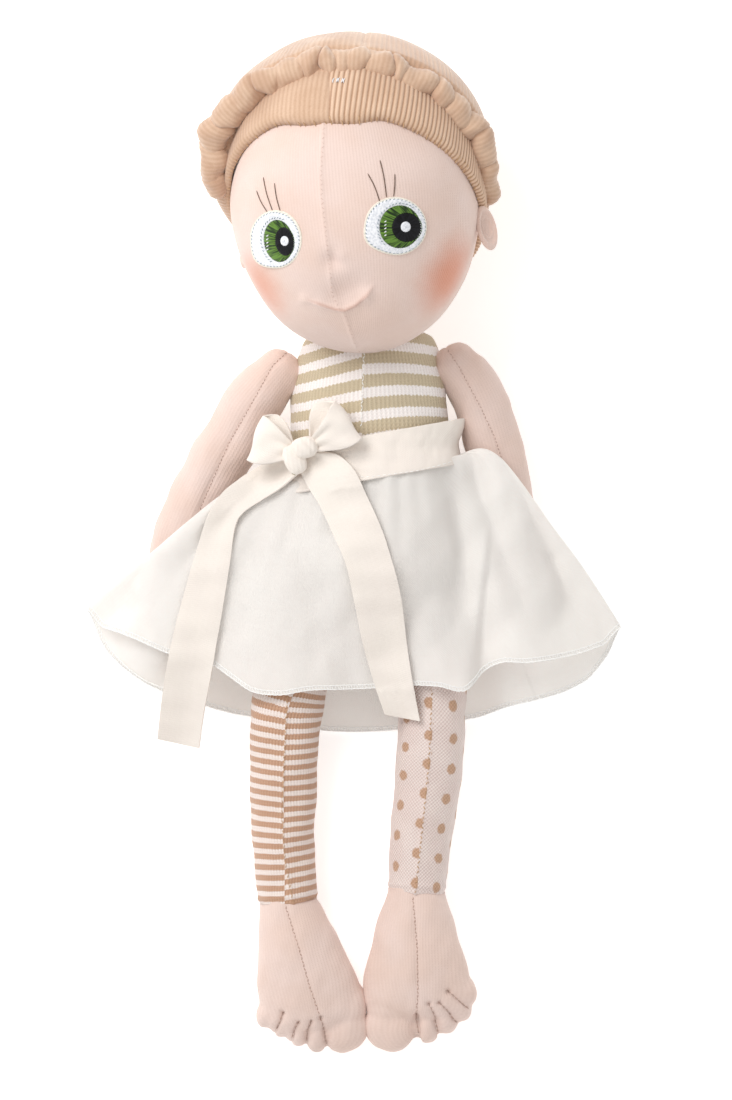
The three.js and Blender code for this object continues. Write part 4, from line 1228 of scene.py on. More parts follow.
# Painted shade for the band's finish: in its furrows, and evenly over the fine ribs left of the seam.
furrow_shade = looped((0.5 - rib_wave / 2) * fan + 0.45 * (1 - fan))
band_lay = joined(np.linspace(0, band_round, ribs * rib_points + 1), share * band_tall, furrow_shade)
band = sheet_mesh("rib_band", band_points, band_thick, band_lay, rib_knit, closed=True)
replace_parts(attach(band, "head_and_hair"), "hair_band")
print("band:", ribs, "ribs")

# %% [markdown]
# ## Hairline stitches
# The band is sewn down by hand with small looped overcast stitches over its edge.

# %% Hairline stitches
hairline_threads = Threads(0.2)
loops_round = 150
for turn in round_steps(loops_round) + math.pi / 2:
    here = np.interp(turn, band_turn, hair_edge, period=TURN)
    path = []
    for step, lift in ((-0.012, 0.15), (-0.004, 0.55), (0.012, 1.5), (0.03, 2.35), (0.045, 2.1)):
        wave = 0.006 * math.sin(turn * 57)
        ray = directions_round(hair_axis, np.array(turn + step * 0.35), np.array(here + step + wave))
        path.append(cast(ray, head_centre, head_halves, lift))
    if path[0][2] > 6 and path[0][1] > 90:
        hairline_threads.add(path)
hairline_piece = hairline_threads.build("hairline_stitches", tan_thread)
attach(hairline_piece, "head_and_hair")
print("hairline stitches:", loops_round)

# %% [markdown]
# ## Velour cap
# The cap covers the crown and the back of the head. Its edge is turned in under the roll and
# at the nape, so the grid bends inwards to the head over its first few millimetres. One seam
# runs over it from front to back, and the table presses the back of it flat.

# %% Cap
cap_axis = unit(np.array([-0.1, -0.85, 1.0]))
cap_sides, cap_round, cap_tall, cap_seam_at = 300, 290, 120, 3.4
cap_turn = round_steps(cap_sides) + math.pi / 2


def before_cap(turn, lean):
    points = cast(directions_round(cap_axis, turn, lean), crown_centre, crown_halves)
    return np.maximum(before_plane(points, hair_plane), before_plane(points, roll_plane)) > 0


cap_edge = edge_lean(cap_turn, before_cap)
share = np.concatenate([np.linspace(0, 0.06, 16), np.linspace(0.06, 1, 120)[1:-1]])[:, None]
lean = mix(cap_edge, math.pi, share)
rays = directions_round(cap_axis, np.broadcast_to(cap_turn, lean.shape), lean)
inner, outer = cast(rays, head_centre, head_halves, 0.6), cast(rays, crown_centre, crown_halves)
cap_points = mix(inner, outer, round_edge(share / 0.05)[..., None])
from_seam = cap_points[..., 0] - cap_seam_at
cap_relief = -0.6 * bell(from_seam, 0.8) - 0.3 * bell(from_seam, 4) + lumps(cap_points, 24, 0.5, 8)
cap_relief *= np.clip(share / 0.1, 0, 1)
cap_points = cap_points + unit(cap_points - crown_centre) * cap_relief[..., None]
cap_points = off_table(cap_points, table_gap * (1 + 0.5 * share))
cap_lay = joined(share * cap_tall, np.linspace(0, cap_round, cap_sides + 1), 0.0)
back_end = cast(-cap_axis, crown_centre, crown_halves)
back_end[2] = max(back_end[2], table_gap)
front_end = cap_points[0].mean(axis=0)
cap = tube_mesh("velour_cap", cap_points, cap_lay, velour, [front_end, back_end])
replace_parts(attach(cap, "head_and_hair"), "hair_crown")
print("cap:", len(cap.data.polygons), "faces")

# %% [markdown]
# ## Gathered roll
# The roll is a strip of velour folded over stuffing and gathered along its seam, so it
# swells and pinches at uneven places. Each pinch pulls the whole ring in, most at the seam
# below, and throws small folds into the puffs beside it. Fine ribs of the nap run round it.

# %% Roll
roll_half = 5.6
roll_rows_share = [
    (-1.0755, 0.0413, -0.1321, 0.3929),
    (-1.1415, 0.169, -0.0613, 0.7679),
    (-1.1651, 0.3143, 0.0236, 0.875),
    (-1.1462, 0.4538, 0.1085, 0.9107),
    (-1.0236, 0.6267, 0.2193, 0.9286),
    (-0.8066, 0.7859, 0.3302, 0.9286),
    (-0.5, 0.8998, 0.4175, 0.9464),
    (-0.2665, 0.947, 0.4575, 0.9821),
    (-0.0236, 0.9587, 0.4764, 1.0),
    (0.2005, 0.9332, 0.4741, 0.9643),
    (0.4245, 0.8723, 0.4481, 0.9286),
    (0.6698, 0.7583, 0.3892, 0.9107),
    (0.8538, 0.6248, 0.316, 0.8929),
    (1.0, 0.4637, 0.2217, 0.875),
    (1.0755, 0.2672, 0.1085, 0.8214),
    (1.0802, 0.1002, 0.0071, 0.6964),
    (1.0613, -0.0079, -0.059, 0.3571),
]
roll_rows = np.array(roll_rows_share) * (*place_scale, roll_half) + (*head_centre, 0)
# share along the roll, how deep
pinches = [
    (0.0, 0.10), (0.055, 0.16), (0.128, 0.36), (0.187, 0.32), (0.245, 0.20), (0.306, 0.38), (0.343, 0.26),
    (0.407, 0.30), (0.446, 0.50), (0.469, 0.28), (0.505, 0.14), (0.539, 0.34), (0.593, 0.38), (0.623, 0.24),
    (0.686, 0.44), (0.735, 0.38), (0.783, 0.20), (0.828, 0.34), (0.895, 0.30), (0.95, 0.18), (1.0, 0.10),
]


def roll_swell(share, turn):
    """Round puffs between sharp creases; the creases wander and are deepest at the seam below."""
    places, deeps = np.array(pinches).T
    share, turn = share[:, None], turn[None]
    wander = share + 0.006 * np.sin(share * 60 + turn) + 0.004 * np.sin(share * 97 - 2 * turn)
    after = np.clip(np.searchsorted(places, wander), 1, len(places) - 1)
    run = np.clip((wander - places[after - 1]) / (places[after] - places[after - 1]), 0, 1)
    deep = deeps[after - 1] + (deeps[after] - deeps[after - 1]) * run
    puff = np.sin(math.pi * run) ** 0.55
    below = 0.8 + 0.2 * np.cos(turn - 0.6)
    return 1.04 - deep * (1 - puff) * below + 0.02 * np.sin(share * 41 + 2 * np.sin(turn))


roll_points, roll_lay, roll_ends = limb_grid(roll_rows, 760, 64, 2.4, 2.4, 10, roll_swell)
along = roll_lay[:, :1, 1]
nap_ribs = 0.08 * np.sin(along * (TURN / nap_pitch) + 0.5 * np.sin(along * 0.9))
roll_relief = nap_ribs + lumps(roll_points, 7, 0.25, 12) + lumps(roll_points, 3, 0.08, 13)
roll_points = pressed(roll_points, roll_relief)
roll_share = along[:, 0] / along.max()
sway = 0.8 * np.sin(roll_share * 46 + 0.6) + 0.5 * np.sin(roll_share * 83 + 2) - 0.9
sway = sway * np.clip(roll_share / 0.05, 0, 1) * np.clip((1 - roll_share) / 0.05, 0, 1)
outwards = unit((roll_points.mean(axis=1) - head_centre) * (1, 1, 0.3))
roll_points = roll_points + (outwards * sway[:, None])[:, None]
roll = tube_mesh("velour_roll", roll_points, roll_lay, velour, roll_ends)
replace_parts(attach(roll, "head_and_hair"), "hair_roll")
print("roll:", len(pinches), "pinches")

# %% [markdown]
# ## The tacking stitch of the roll
# Where the roll meets the band above the nose, a few white stitches of the seam show.

# %% Roll tacking
tacking = Threads(0.2)
band_top = Surface(band)
tack_x, tack_y = photo((338, 81.5))[0]
for shift in (-1.6, -0.7, 0.2, 1.1, 2.0):
    path = []
    for share in np.linspace(0, 1, 5):
        down = tack_y - 0.9 + 1.6 * share - 0.15 * abs(shift)
        hit, normal = band_top.at(tack_x + shift + 0.5 * share, down)
        path.append(hit + normal * (0.15 + 0.35 * math.sin(share * math.pi)))
    tacking.add(path)
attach(tacking.build("roll_tacking", white_thread), "head_and_hair")
print("roll tacked")

# %% [markdown]
# ## Ears
# An ear is a flat loop of jersey: a soft rim round a hollow, with one fold inside. The grid
# runs from the middle out over the rim and back under.

# %% Ears
ear_long, ear_wide, ear_thick = 15.5, 7.6, 3.0


def ear_grid(rings=40, sides=96):
    turn = round_steps(sides)
    over = np.linspace(0, 1, rings + 1)[1:, None]
    reach = np.sin(over * math.pi / 2) ** 0.9
    x = reach * np.cos(turn) * ear_wide / 2
    y = reach * np.sin(turn) * ear_long / 2
    fold = 0.35 * bell(reach - 0.45 - 0.08 * np.cos(turn), 0.10)
    swell = 0.25 + 0.75 * bell(reach - 0.80, 0.17) - 0.55 * bell(reach, 0.55) + fold
    top = joined(x, y, ear_thick / 2 * swell * half_round(over**4))
    back = joined(x, y, -ear_thick / 2 * 0.8 * half_round(reach**2))[::-1]
    return np.concatenate([top, back[1:]])


def turned(points, lean, turn):
    """Leans points about y and turns them in plan, by degrees."""
    x, y, z = np.moveaxis(points, -1, 0)
    x, z = turned_flat(x, z, -math.radians(lean))
    return joined(*turned_flat(x, y, math.radians(turn)), z)


ears = {
    "left": {"along_share": -0.2, "round": 208, "out": 0.8, "turn": -14, "lean": -64},
    "right": {"along_share": -0.2503, "round": 8.46, "out": 3.14, "turn": 14, "lean": 32},
}
for side, ear in ears.items():
    reach = head_wide * math.sqrt(1 - ear["along_share"] ** 2) + ear["out"]
    angle = math.radians(ear["round"])
    at = head_centre + head_across * reach * math.cos(angle)
    at = at + head_along * head_long * ear["along_share"] + head_out * reach * math.sin(angle)
    points = turned(ear_grid(), ear["lean"], ear["turn"]) + at
    lay = looped(points) * (1, 1, 0)
    tips = turned(np.array([[0, 0, -0.35], [0, 0, -ear_thick * 0.4]]), ear["lean"], ear["turn"]) + at
    piece = tube_mesh(f"ear_{side}_loop", points, lay, limb_jersey, tips)
    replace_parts(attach(piece, "head_and_hair"), f"ear_{side}")
print("ears made")

# %% [markdown]
# ## Neck and body
# The neck is a short plug of jersey. The body is a stuffed bag of striped knit, wide at the
# hips, with one seam down the front that pulls a shallow groove and is closed with small
# stitches. The shoulders are pressed in a little where the arms are sewn on.

# %% Neck and body
neck_rows = [(4, 60, 15, 13, 11), (3.6, 70, 16, 13, 11.5), (2.6, 82.4, 17.8, 12.6, 11)]
neck_points, neck_lay, neck_ends = limb_grid(neck_rows, 30, 64, 2, 2, 5)
neck = tube_mesh("neck_skin", neck_points, neck_lay, limb_jersey, neck_ends)
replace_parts(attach(neck, "trunk"), "neck")

torso_rows = [
    (3.6, 77, 19, 19, 12.5), (3.8, 70.4, 19, 21.6, 14.5), (4.2, 65, 19, 23.2, 16.8),
    (4.6, 57, 18.6, 25.0, 19.0), (4.8, 47, 18.9, 26.5, 18.6), (5.2, 38, 19.8, 27.2, 17.6),
    (5.0, 27, 19.9, 27.2, 17.6),
    (4.8, 12, 20.1, 28.7, 17.9), (4.6, -4, 20.2, 30.0, 17.8), (4.5, -22, 19.5, 28, 15.5),
]
arm_rows = {
    "left": [
        (-26.0, 58.6, 20, 8.4, 8.2), (-31.0, 53.0, 19, 9.7, 9.4), (-36.2, 46.2, 17.6, 10.3, 10.0),
        (-42.6, 35.0, 15.5, 10.3, 10.1), (-48.8, 24.6, 13.6, 10.2, 10.0), (-58.8, 4.4, 10.6, 9.8, 9.8),
        (-62.3, -7.8, 9.2, 8.7, 8.6), (-64.9, -19.6, 8.8, 10.2, 8.2), (-66.4, -32.6, 8.2, 9.0, 6.9),
    ],
    "right": [
        (34.6, 61.0, 20, 8.2, 8.0), (39.0, 56.0, 19, 9.0, 9.0), (42.4, 49.6, 17.6, 9.4, 9.4),
        (45.4, 41.0, 15.6, 9.6, 9.6), (48.8, 28.0, 13.4, 9.8, 9.7), (52.4, 12.0, 10.9, 9.6, 9.6),
        (55.8, -3.0, 9.2, 8.6, 8.6), (58.2, -15.6, 8.8, 10.0, 8.2), (59.9, -29.0, 8.2, 9.0, 6.9),
    ],
}
body_seam = photo((366, 325), (364, 350), (363, 376), (362, 400), (361, 425), (361, 450))
torso_points, torso_lay, torso_ends = limb_grid(torso_rows[:-1], 150, 220, 9, 5)
front = np.clip((torso_points[..., 2] - 22) / 6, 0, 1)
torso_relief = seam_groove(torso_points, body_seam, 0.8, 0.5, 4.0, 0.5) * front
for rows in arm_rows.values():
    torso_relief += bump(torso_points, rows[0][:3], rows[0][3] + 1.5, -1.6)
torso_relief += lumps(torso_points, 20, 0.5, 21)
torso_points = off_table(pressed(torso_points, torso_relief))
torso = tube_mesh("body_bag", torso_points, torso_lay, body_knit, torso_ends)
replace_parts(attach(torso, "trunk"), "torso")
body_stitches = (body_seam[1:5], 1.3, 1.1, 0.25, 0.16)
sew("body_seam_thread", "trunk", hem_thread, 0.15, Surface(torso), body_stitches)
print("body:", len(torso.data.polygons), "faces")

# %% [markdown]
# ## Sewn hands and feet
# Fingers and toes are part of the same skin as the limb, with creases sewn between them. The
# limb and each finger or toe start as separate closed forms. A voxel remesh turns them into
# one skin, a little smoothing softens it, and then the creases are pressed in along paths.

# %% Limbs with fingers or toes
def capped(rows, reach):
    """Runs a limb's rows on past its joint, so that its round end is centred on the joint."""
    first, second = np.array(rows[0], float), np.array(rows[1], float)
    run = math.hypot(*(second - first)[:2])
    before = first.copy()
    before[:2] -= (second - first)[:2] * reach / run
    return [tuple(before)] + list(rows)


def rings_of(points, ends):
    """A closed form over rings, as points and faces."""
    rings, sides = points.shape[:2]
    total = rings * sides
    pairs = [(side, (side + 1) % sides) for side in range(sides)]
    faces = []
    for low in range(0, total - sides, sides):
        high = low + sides
        faces += [(low + side, low + after, high + after, high + side) for side, after in pairs]
    low = total - sides
    for side, after in pairs:
        faces += [(total, after, side), (total + 1, low + side, low + after)]
    return np.concatenate([points.reshape(-1, 3), np.asarray(ends)]), faces


def small_ball(centre, half, turn, sides=28, rings=18):
    """A ball for one finger or toe, turned in plan by degrees."""
    polar = np.linspace(0, math.pi, rings + 2)[1:-1][:, None]
    round_it = round_steps(sides)
    ball = joined(np.sin(polar) * np.cos(round_it), -np.cos(polar), np.sin(polar) * np.sin(round_it))
    points = centre + turned(ball * half, 0, turn)
    tips = centre + turned(np.array([[0, -half[1], 0], [0, half[1], 0]]), 0, turn)
    return rings_of(points, tips)


def one_skin(name, forms, voxel, smooth):
    """Joins closed forms into one skin. Gives its points, faces and normals."""
    mesh = bpy.data.meshes.new(name)
    built = bmesh.new()
    for points, faces in forms:
        corners = [built.verts.new(point * MM) for point in points]
        for face in faces:
            built.faces.new([corners[index] for index in face])
    bmesh.ops.recalc_face_normals(built, faces=built.faces)
    built.to_mesh(mesh)
    built.free()
    piece = bpy.data.objects.new(name, mesh)
    scene.collection.objects.link(piece)
    remesh = piece.modifiers.new("skin", "REMESH")
    remesh.mode = "VOXEL"
    remesh.voxel_size = voxel * MM
    soften = piece.modifiers.new("soften", "SMOOTH")
    soften.factor = 0.5
    soften.iterations = smooth
    graph = bpy.context.evaluated_depsgraph_get()
    applied = bpy.data.meshes.new_from_object(piece.evaluated_get(graph))
    bpy.data.objects.remove(piece)
    points, normals = np.zeros((2, len(applied.vertices) * 3))
    applied.vertices.foreach_get("co", points)
    applied.vertices.foreach_get("normal", normals)
    faces = [tuple(face.vertices) for face in applied.polygons]
    return points.reshape(-1, 3) / MM, faces, normals.reshape(-1, 3)


def lay_round(points, line, girth):
    """Round and along a line, for points near it."""
    spots = line.table[::6, :3]
    along = line.along[::6]
    nearest = np.argmin(((points[:, None, :] - spots[None]) ** 2).sum(axis=-1), axis=1)
    offset = points - spots[nearest]
    heading = unit(np.gradient(spots, axis=0))[nearest]
    flat = unit(joined(heading[:, 1], -heading[:, 0], 0.0))
    up = np.cross(flat, heading)
    angle = np.arctan2((offset * flat).sum(axis=1), (offset * up).sum(axis=1))
    run = along[nearest] + (offset * heading).sum(axis=1)
    return joined(-angle * girth, run, 0.0)


def skin_mesh(name, points, faces, lay, finish):
    corners = np.concatenate([np.array(face) for face in faces])
    return to_mesh(name, points, faces, lay[corners], finish)


print("limb tools ready")

# %% [markdown]
# ## Arms
# An arm is a soft tube of jersey, slack at the wrist, with its seam along the front. The
# hand is flat, with four sewn fingers and a short thumb turned to the body.

# %% Arms
arm_seams = {
    "left": photo(
        (296, 344), (273, 365), (248, 410), (229, 443), (215, 474), (203, 502), (186, 545), (178, 600),
    ),
    "right": photo(
        (440, 338), (459, 367), (481, 408), (495, 438), (503, 463), (513, 500), (524, 560), (528, 610),
    ),
}
arm_girth, arm_voxel, arm_smooth = 9.5, 0.75, 6
finger_long, finger_wide, finger_deep = 11.0, 2.2, 4.4
finger_spread, finger_stagger = 3.7, 1.6
thumb_out, thumb_back, thumb_long = 9.2, 15.0, 6.6
for side, rows in arm_rows.items():
    points, _, ends = limb_grid(capped(rows, rows[0][3]), 70, 64, rows[0][3], 7, 12)
    forms = [rings_of(points, ends)]
    last, before = np.array(rows[-1][:3]), np.array(rows[-2][:3])
    heading = math.atan2(last[1] - before[1], last[0] - before[0])
    ahead = np.array([math.cos(heading), math.sin(heading), 0])
    aside = np.array([-math.sin(heading), math.cos(heading), 0])
    lean = math.degrees(heading) - 90
    creases = []
    for finger in range(4):
        out = finger - 1.5
        back = finger_long / 2 + abs(out) * finger_stagger
        centre = last - ahead * back + aside * out * finger_spread
        forms.append(small_ball(centre, (finger_wide * 1.12, finger_long, finger_deep), lean))
        if finger < 3:
            between = last + aside * (out + 0.5) * finger_spread
            creases.append([(between - ahead * 9)[:2], (between + ahead * 7)[:2]])
    palm = 1 if side == "left" else -1
    thumb = last - ahead * thumb_back + aside * palm * thumb_out
    forms.append(small_ball(thumb, (finger_wide * 1.3, thumb_long, finger_wide * 1.3), lean))
    points, faces, normals = one_skin(f"arm_{side}", forms, arm_voxel, arm_smooth)
    front = np.clip((points[:, 2] - rows[-1][2] + 2) / 3, 0, 1)
    seam = arm_seams[side]
    relief = seam_groove(points, seam, 0.8, 0.38, 3.5, 0.3) * front
    for crease in creases:
        relief += groove(points, crease, 0.7, 0.9, 0.3)
    relief += lumps(points, 15, 0.45, 31) + lumps(points, 6, 0.12, 32)
    points = off_table(points + normals * relief[:, None])
    lay = lay_round(points, Line(rows), arm_girth)
    arm = skin_mesh(f"arm_{side}_skin", points, faces, lay, limb_jersey)
    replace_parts(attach(arm, f"{side}_arm"), f"arm_{side}")
    below_joint = mix(np.array(seam[0]), np.array(seam[1]), 0.45)
    stitches = ([below_joint, *seam[1:]], 1.3, 0.8, 0.16, 0.1)
    sew(f"arm_{side}_seam_thread", f"{side}_arm", skin_thread, 0.13, Surface(arm), stitches)
    print("arm", side, len(faces), "faces")

# %% [markdown]
# ## Legs
# The legs are tubes of knit with a seam down the front. Each ends in a turned edge where
# the foot is sewn on, and the knit rolls a little there.

# %% Legs
hip_dome, ankle_dome = 11.8, 0.6
leg_rows = {
    "left": [
        (-13.0, -20.4, 14.6, 11.6, 11.8), (-16.8, -32, 14.4, 11.9, 11.9), (-21.0, -46, 14.1, 12.1, 12.0),
        (-23.5, -58, 13.7, 12.2, 11.9), (-24.4, -76.6, 12.2, 11.6, 11.6), (-24.6, -100.8, 10.9, 10.8, 10.9),
        (-22.6, -123.2, 10.6, 10.3, 10.4),
    ],
    "right": [
        (21.6, -20.4, 14.6, 11.6, 11.8), (24.2, -32, 14.4, 11.8, 11.9), (26.0, -46, 14.1, 11.8, 12.0),
        (26.3, -58, 13.7, 11.7, 11.9), (25.5, -74.9, 12.2, 11.5, 11.6), (22.2, -104, 10.9, 10.6, 10.9),
        (21.0, -119.6, 10.6, 10.2, 10.4),
    ],
}
leg_seams = {
    "left": photo((290, 640), (287, 697), (284, 760), (282, 815), (285, 863), (294, 906)),
    "right": photo((436, 640), (432, 694), (429, 760), (423, 823), (419, 860), (415, 897)),
}
leg_looks = {"left": (stripe_knit, "leg_stripe_knit"), "right": (dot_knit, "leg_dot_knit")}


def x_at(y, places):
    """x of a path that runs down the doll, at a height y in plan."""
    across, along = np.array(places)[::-1, :2].T
    return np.interp(y, along, across)


leg_pieces = {}
for side, rows in leg_rows.items():
    finish, slot = leg_looks[side]
    seam = leg_seams[side]
    points, lay, ends = limb_grid(capped(rows, hip_dome), 240, 128, hip_dome, ankle_dome, 14)
    shift = (x_at(points[..., 1], seam) - x_at(points[..., 1], rows)).mean(axis=1)
    lay[..., 0] = -lay[..., 0] - shift[:, None]
    front = np.clip((points[..., 2] - 12) / 5, 0, 1)
    relief = seam_groove(points, seam, 0.8, 0.42, 3.2, 0.4) * front
    relief += lumps(points, 17, 0.45, 41) + lumps(points, 7, 0.12, 42)
    from_hem = lay[:, :1, 1].max() - lay[:, :-1, 1]
    relief += 0.35 * bell(from_hem - 1.0, 0.9) - 0.25 * bell(from_hem - 2.8, 0.8)
    points = off_table(pressed(points, relief))
    leg = tube_mesh(f"leg_{side}_knit", points, lay, finish, ends)
    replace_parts(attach(leg, f"{side}_leg"), f"leg_{side}")
    leg_pieces[side] = leg
    stitches = (seam[1:], 1.7, 1.0, 0.28)
    sew(f"leg_{side}_seam_thread", f"{side}_leg", tan_thread, 0.16, Surface(leg), stitches)
    print("leg", side, len(leg.data.polygons), "faces")

# %% [markdown]
# ## Feet
# The feet are jersey, with a seam over the instep and five toes. The creases between the
# toes are drawn in with thread, and each ends in a small dimple where the thread turns back.

# %% Feet
foot_rows = {
    "left": [
        (-22.6, -118.5, 10.6, 9.2, 9.3), (-22.6, -121.6, 10.6, 9.6, 9.8), (-22.4, -124.4, 10.7, 10.5, 10.5),
        (-21.2, -131, 11.0, 12.4, 11.3), (-19.0, -141, 11.4, 14.9, 11.6),
        (-16.4, -151, 11.2, 16.9, 10.6), (-14.4, -161, 10.6, 17.6, 8.9), (-13.4, -168, 10.2, 15.6, 7.2),
    ],
    "right": [
        (21.0, -115.0, 10.6, 9.1, 9.3), (21.0, -118.1, 10.6, 9.5, 9.8), (21.0, -120.9, 10.7, 10.4, 10.5),
        (20.8, -128, 11.0, 12.8, 11.3), (20.6, -138, 11.4, 15.6, 11.6),
        (21.0, -148, 11.2, 18.0, 10.6), (21.8, -157, 10.6, 18.4, 8.9), (21.4, -164, 10.2, 15.6, 7.2),
    ],
}
# x, y, half width, half length
toes = {
    "left": [
        (-4.3, -165.2, 8.5, 9.2), (-13.0, -166.6, 4.7, 7.4), (-19.2, -165.2, 4.6, 6.6),
        (-25.0, -162.8, 4.5, 6.2), (-29.8, -160.6, 4.0, 5.8),
    ],
    "right": [
        (12.3, -164.4, 8.9, 9.4), (24.6, -164.0, 5.0, 7.2), (30.6, -161.2, 4.8, 6.8),
        (35.2, -157.4, 4.5, 6.0), (37.6, -152.8, 4.2, 5.6),
    ],
}
toe_height, toe_deep, toe_splay = 9.4, 5.6, 20
foot_girth, foot_voxel, foot_smooth = 13, 0.7, 7
foot_seams = {
    "left": photo((286, 908), (299, 949), (310, 988), (321, 1020)),
    "right": photo((413, 899), (417, 947), (418, 992), (416, 1019)),
}
toe_creases = {
    "left": [
        ((321, 1020), (325, 1034), (328, 1056)), ((311, 1023), (307, 1033), (305, 1052)),
        ((298, 1024), (293, 1033), (290, 1046)), ((282, 1014), (279, 1024), (273, 1036)),
    ],
    "right": [
        ((416, 1018), (418, 1030), (420, 1050)), ((429, 1005), (435, 1018), (439, 1036)),
        ((440, 1004), (447, 1011), (456, 1022)), ((449, 992), (457, 999), (467, 1008)),
    ],
}
for side, rows in foot_rows.items():
    points, _, ends = limb_grid(rows, 64, 72, 0.8, 7, 10)
    forms = [rings_of(points, ends)]
    middle, edge = rows[-1][0], rows[-1][3]
    x, y, wide, tip = toes[side][0]
    forms.append(small_ball(np.array([x, y + 7.5, toe_height + 0.4]), (wide, tip, toe_deep * 1.3), 0))
    for x, y, wide, tip in toes[side]:
        turn = (x - middle) / edge * toe_splay
        forms.append(small_ball(np.array([x, y, toe_height]), (wide * 1.03, tip, toe_deep * 1.12), turn))
    points, faces, normals = one_skin(f"foot_{side}", forms, foot_voxel, foot_smooth)
    front = np.clip((points[:, 2] - 9) / 5, 0, 1)
    relief = seam_groove(points, foot_seams[side], 0.8, 0.4, 3.0, 0.25) * front
    for pixels in toe_creases[side]:
        crease = photo(*pixels)
        relief += seam_groove(points, crease, 0.7, 1.0, 2.0, 0.35) * (0.55 + 0.45 * front)
        relief += bump(points, crease[0], 0.9, -0.7) * front
    relief += lumps(points, 16, 0.5, 51) + lumps(points, 7, 0.15, 52)
    points = off_table(points + normals * relief[:, None])
    lay = lay_round(points, Line(rows), foot_girth)
    foot = skin_mesh(f"foot_{side}_skin", points, faces, lay, limb_jersey)
    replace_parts(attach(foot, f"{side}_leg"), f"foot_{side}")
    instep = (foot_seams[side], 1.3, 0.95, 0.2, 0.14)
    between_toes = [(photo(*pixels), 1.5, 1.4, 0.0, 0.22) for pixels in toe_creases[side]]
    sew(f"foot_{side}_thread", f"{side}_leg", skin_thread, 0.14, Surface(foot), instep, *between_toes)
    print("foot", side, len(faces), "faces")

# %% [markdown]
# ## Outline of the skirt
# The skirt is one wide tube of lawn, gathered at the waist. On a lying doll it folds flat
# along two side edges into a front layer and a back layer. Two lists give the side folds,
# two more give the hems.

# %% Skirt outline
waist_centre, waist_half, waist_slope = (5.3, 24.4, 20.1), (28.4, 18.4), 0.18
fold_left = np.array([
    (-24.3, 16.6, 20.1), (-35.0, 20.4, 24.6), (-46.0, 15.2, 26.4), (-58.0, 6.0, 24.6),
    (-70.0, -4.0, 18.0), (-82.0, -13.6, 11.5), (-92.0, -22.0, 8.0),
])
fold_right = np.array([
    (34.9, 25.0, 20.1), (43.6, 28.8, 25.6), (50.4, 26.4, 26.4), (57.6, 18.4, 25.0),
    (66.6, 6.0, 19.5), (78.6, -9.6, 12.5), (91.0, -28.4, 7.0),
])
front_hem = np.array([
    (-92.0, -22.0, 8.0), (-86.6, -28.2, 12), (-78.0, -31.4, 20), (-64.2, -37.2, 22.4), (-48.6, -41.0, 21),
    (-42.0, -45.8, 24), (-35.2, -50.4, 27), (-26.0, -51.6, 28.6), (-16.0, -50.0, 27.6), (-4.0, -49.6, 23.4),
    (8.0, -49.0, 23.2), (18.0, -48.2, 27.2), (28.6, -48.6, 28.8), (37.4, -50.2, 25.6), (43.6, -43.6, 19),
    (50.4, -40.4, 20.6), (60.0, -40.4, 21.6), (73.4, -38.2, 15.5), (85.0, -34.4, 10), (91.0, -28.4, 7.0),
])
back_hem = np.array([
    (-92.0, -22.0, 8.0), (-86.0, -35.0, 9), (-80.0, -41.5, 11), (-72.0, -47.2, 13), (-64.0, -51.2, 12),
    (-51.0, -55.4, 7), (-42.0, -58.0, 1.2), (-26.0, -60.6, 0.8), (-10.0, -63.9, 0.8), (10.0, -63.9, 0.8),
    (30.0, -61.4, 0.8), (42.5, -59.2, 1.2), (52.0, -55.8, 7), (62.0, -53.4, 11), (72.0, -50.4, 11),
    (80.0, -46.0, 9.5), (86.4, -38.0, 8.4), (91.0, -28.4, 7.0),
])
print("hems:", len(front_hem), "and", len(back_hem), "places")

# %% [markdown]
# ## What lies under the skirt
# The cloth is lifted off whatever lies under it: the belly, the thighs, and the arms under
# its wings. Each sum gives the least height that the cloth needs at a place.

# %% Heights under the skirt
table_cloth, cover, arm_cover = 0.72, 1.4, 2.5
cover_run, wing_level = 9.5, 5.5
inside_left, outside_left = (-29.6, 20, -38.5, -52), (-38.0, 20, -55.0, -52)
inside_right, outside_right = (37.0, 20, 40.6, -52), (41.6, 20, 52.5, -52)
seat_y, seat_fall = -8.2, 0.4
nowhere = -999.0
feel_steps = np.linspace(0, 1, 61)


def along_x(table, x, column):
    index = np.clip(np.searchsorted(table[:, 0], x), 1, len(table) - 1)
    low, high = table[index - 1, 0], table[index, 0]
    part = np.clip((x - low) / (high - low), 0, 1)
    return rows_at(table, (index - 1 + part) / (len(table) - 1))[..., column]


def line_x(line, y):
    x0, y0, x1, y1 = line
    return mix(x0, x1, (y - y0) / (y1 - y0))


def over_limb(rows, x, y):
    """Height that the cloth needs over a lying limb, as it comes down beside it."""
    best = np.full(x.shape, nowhere)
    for cx, cy, cz, wide, deep in rows_at(rows, feel_steps):
        away = np.hypot(x - cx, y - cy) / (wide + cover_run)
        height = cz + (deep + cover) * (1 - away**2) - cz * away**2
        best = np.where(away < 1, np.maximum(best, height), best)
    return best


def over_arm(x, y):
    """Height that the cloth needs right over both arms."""
    best = np.full(x.shape, nowhere)
    for rows in arm_rows.values():
        for cx, cy, cz, wide, deep in rows_at(rows, feel_steps):
            away = np.hypot(x - cx, y - cy) / (wide + arm_cover)
            height = cz + (deep + arm_cover) * half_round(away)
            best = np.where(away < 1, np.maximum(best, height), best)
    return best


def over_torso(x, y):
    """Height over the body. Below the seat it falls off, since no body is there."""
    table = rows_at(torso_rows, feel_steps)
    level = np.maximum(y, seat_y)
    cx, _, cz, wide, deep = (np.interp(-level, -table[:, 1], column) for column in table.T)
    away = (x - cx) / (wide + cover)
    height = cz + (deep + cover) * half_round(away) - np.maximum(0, seat_y - y) * seat_fall
    return np.where(np.abs(away) < 1, height, nowhere)


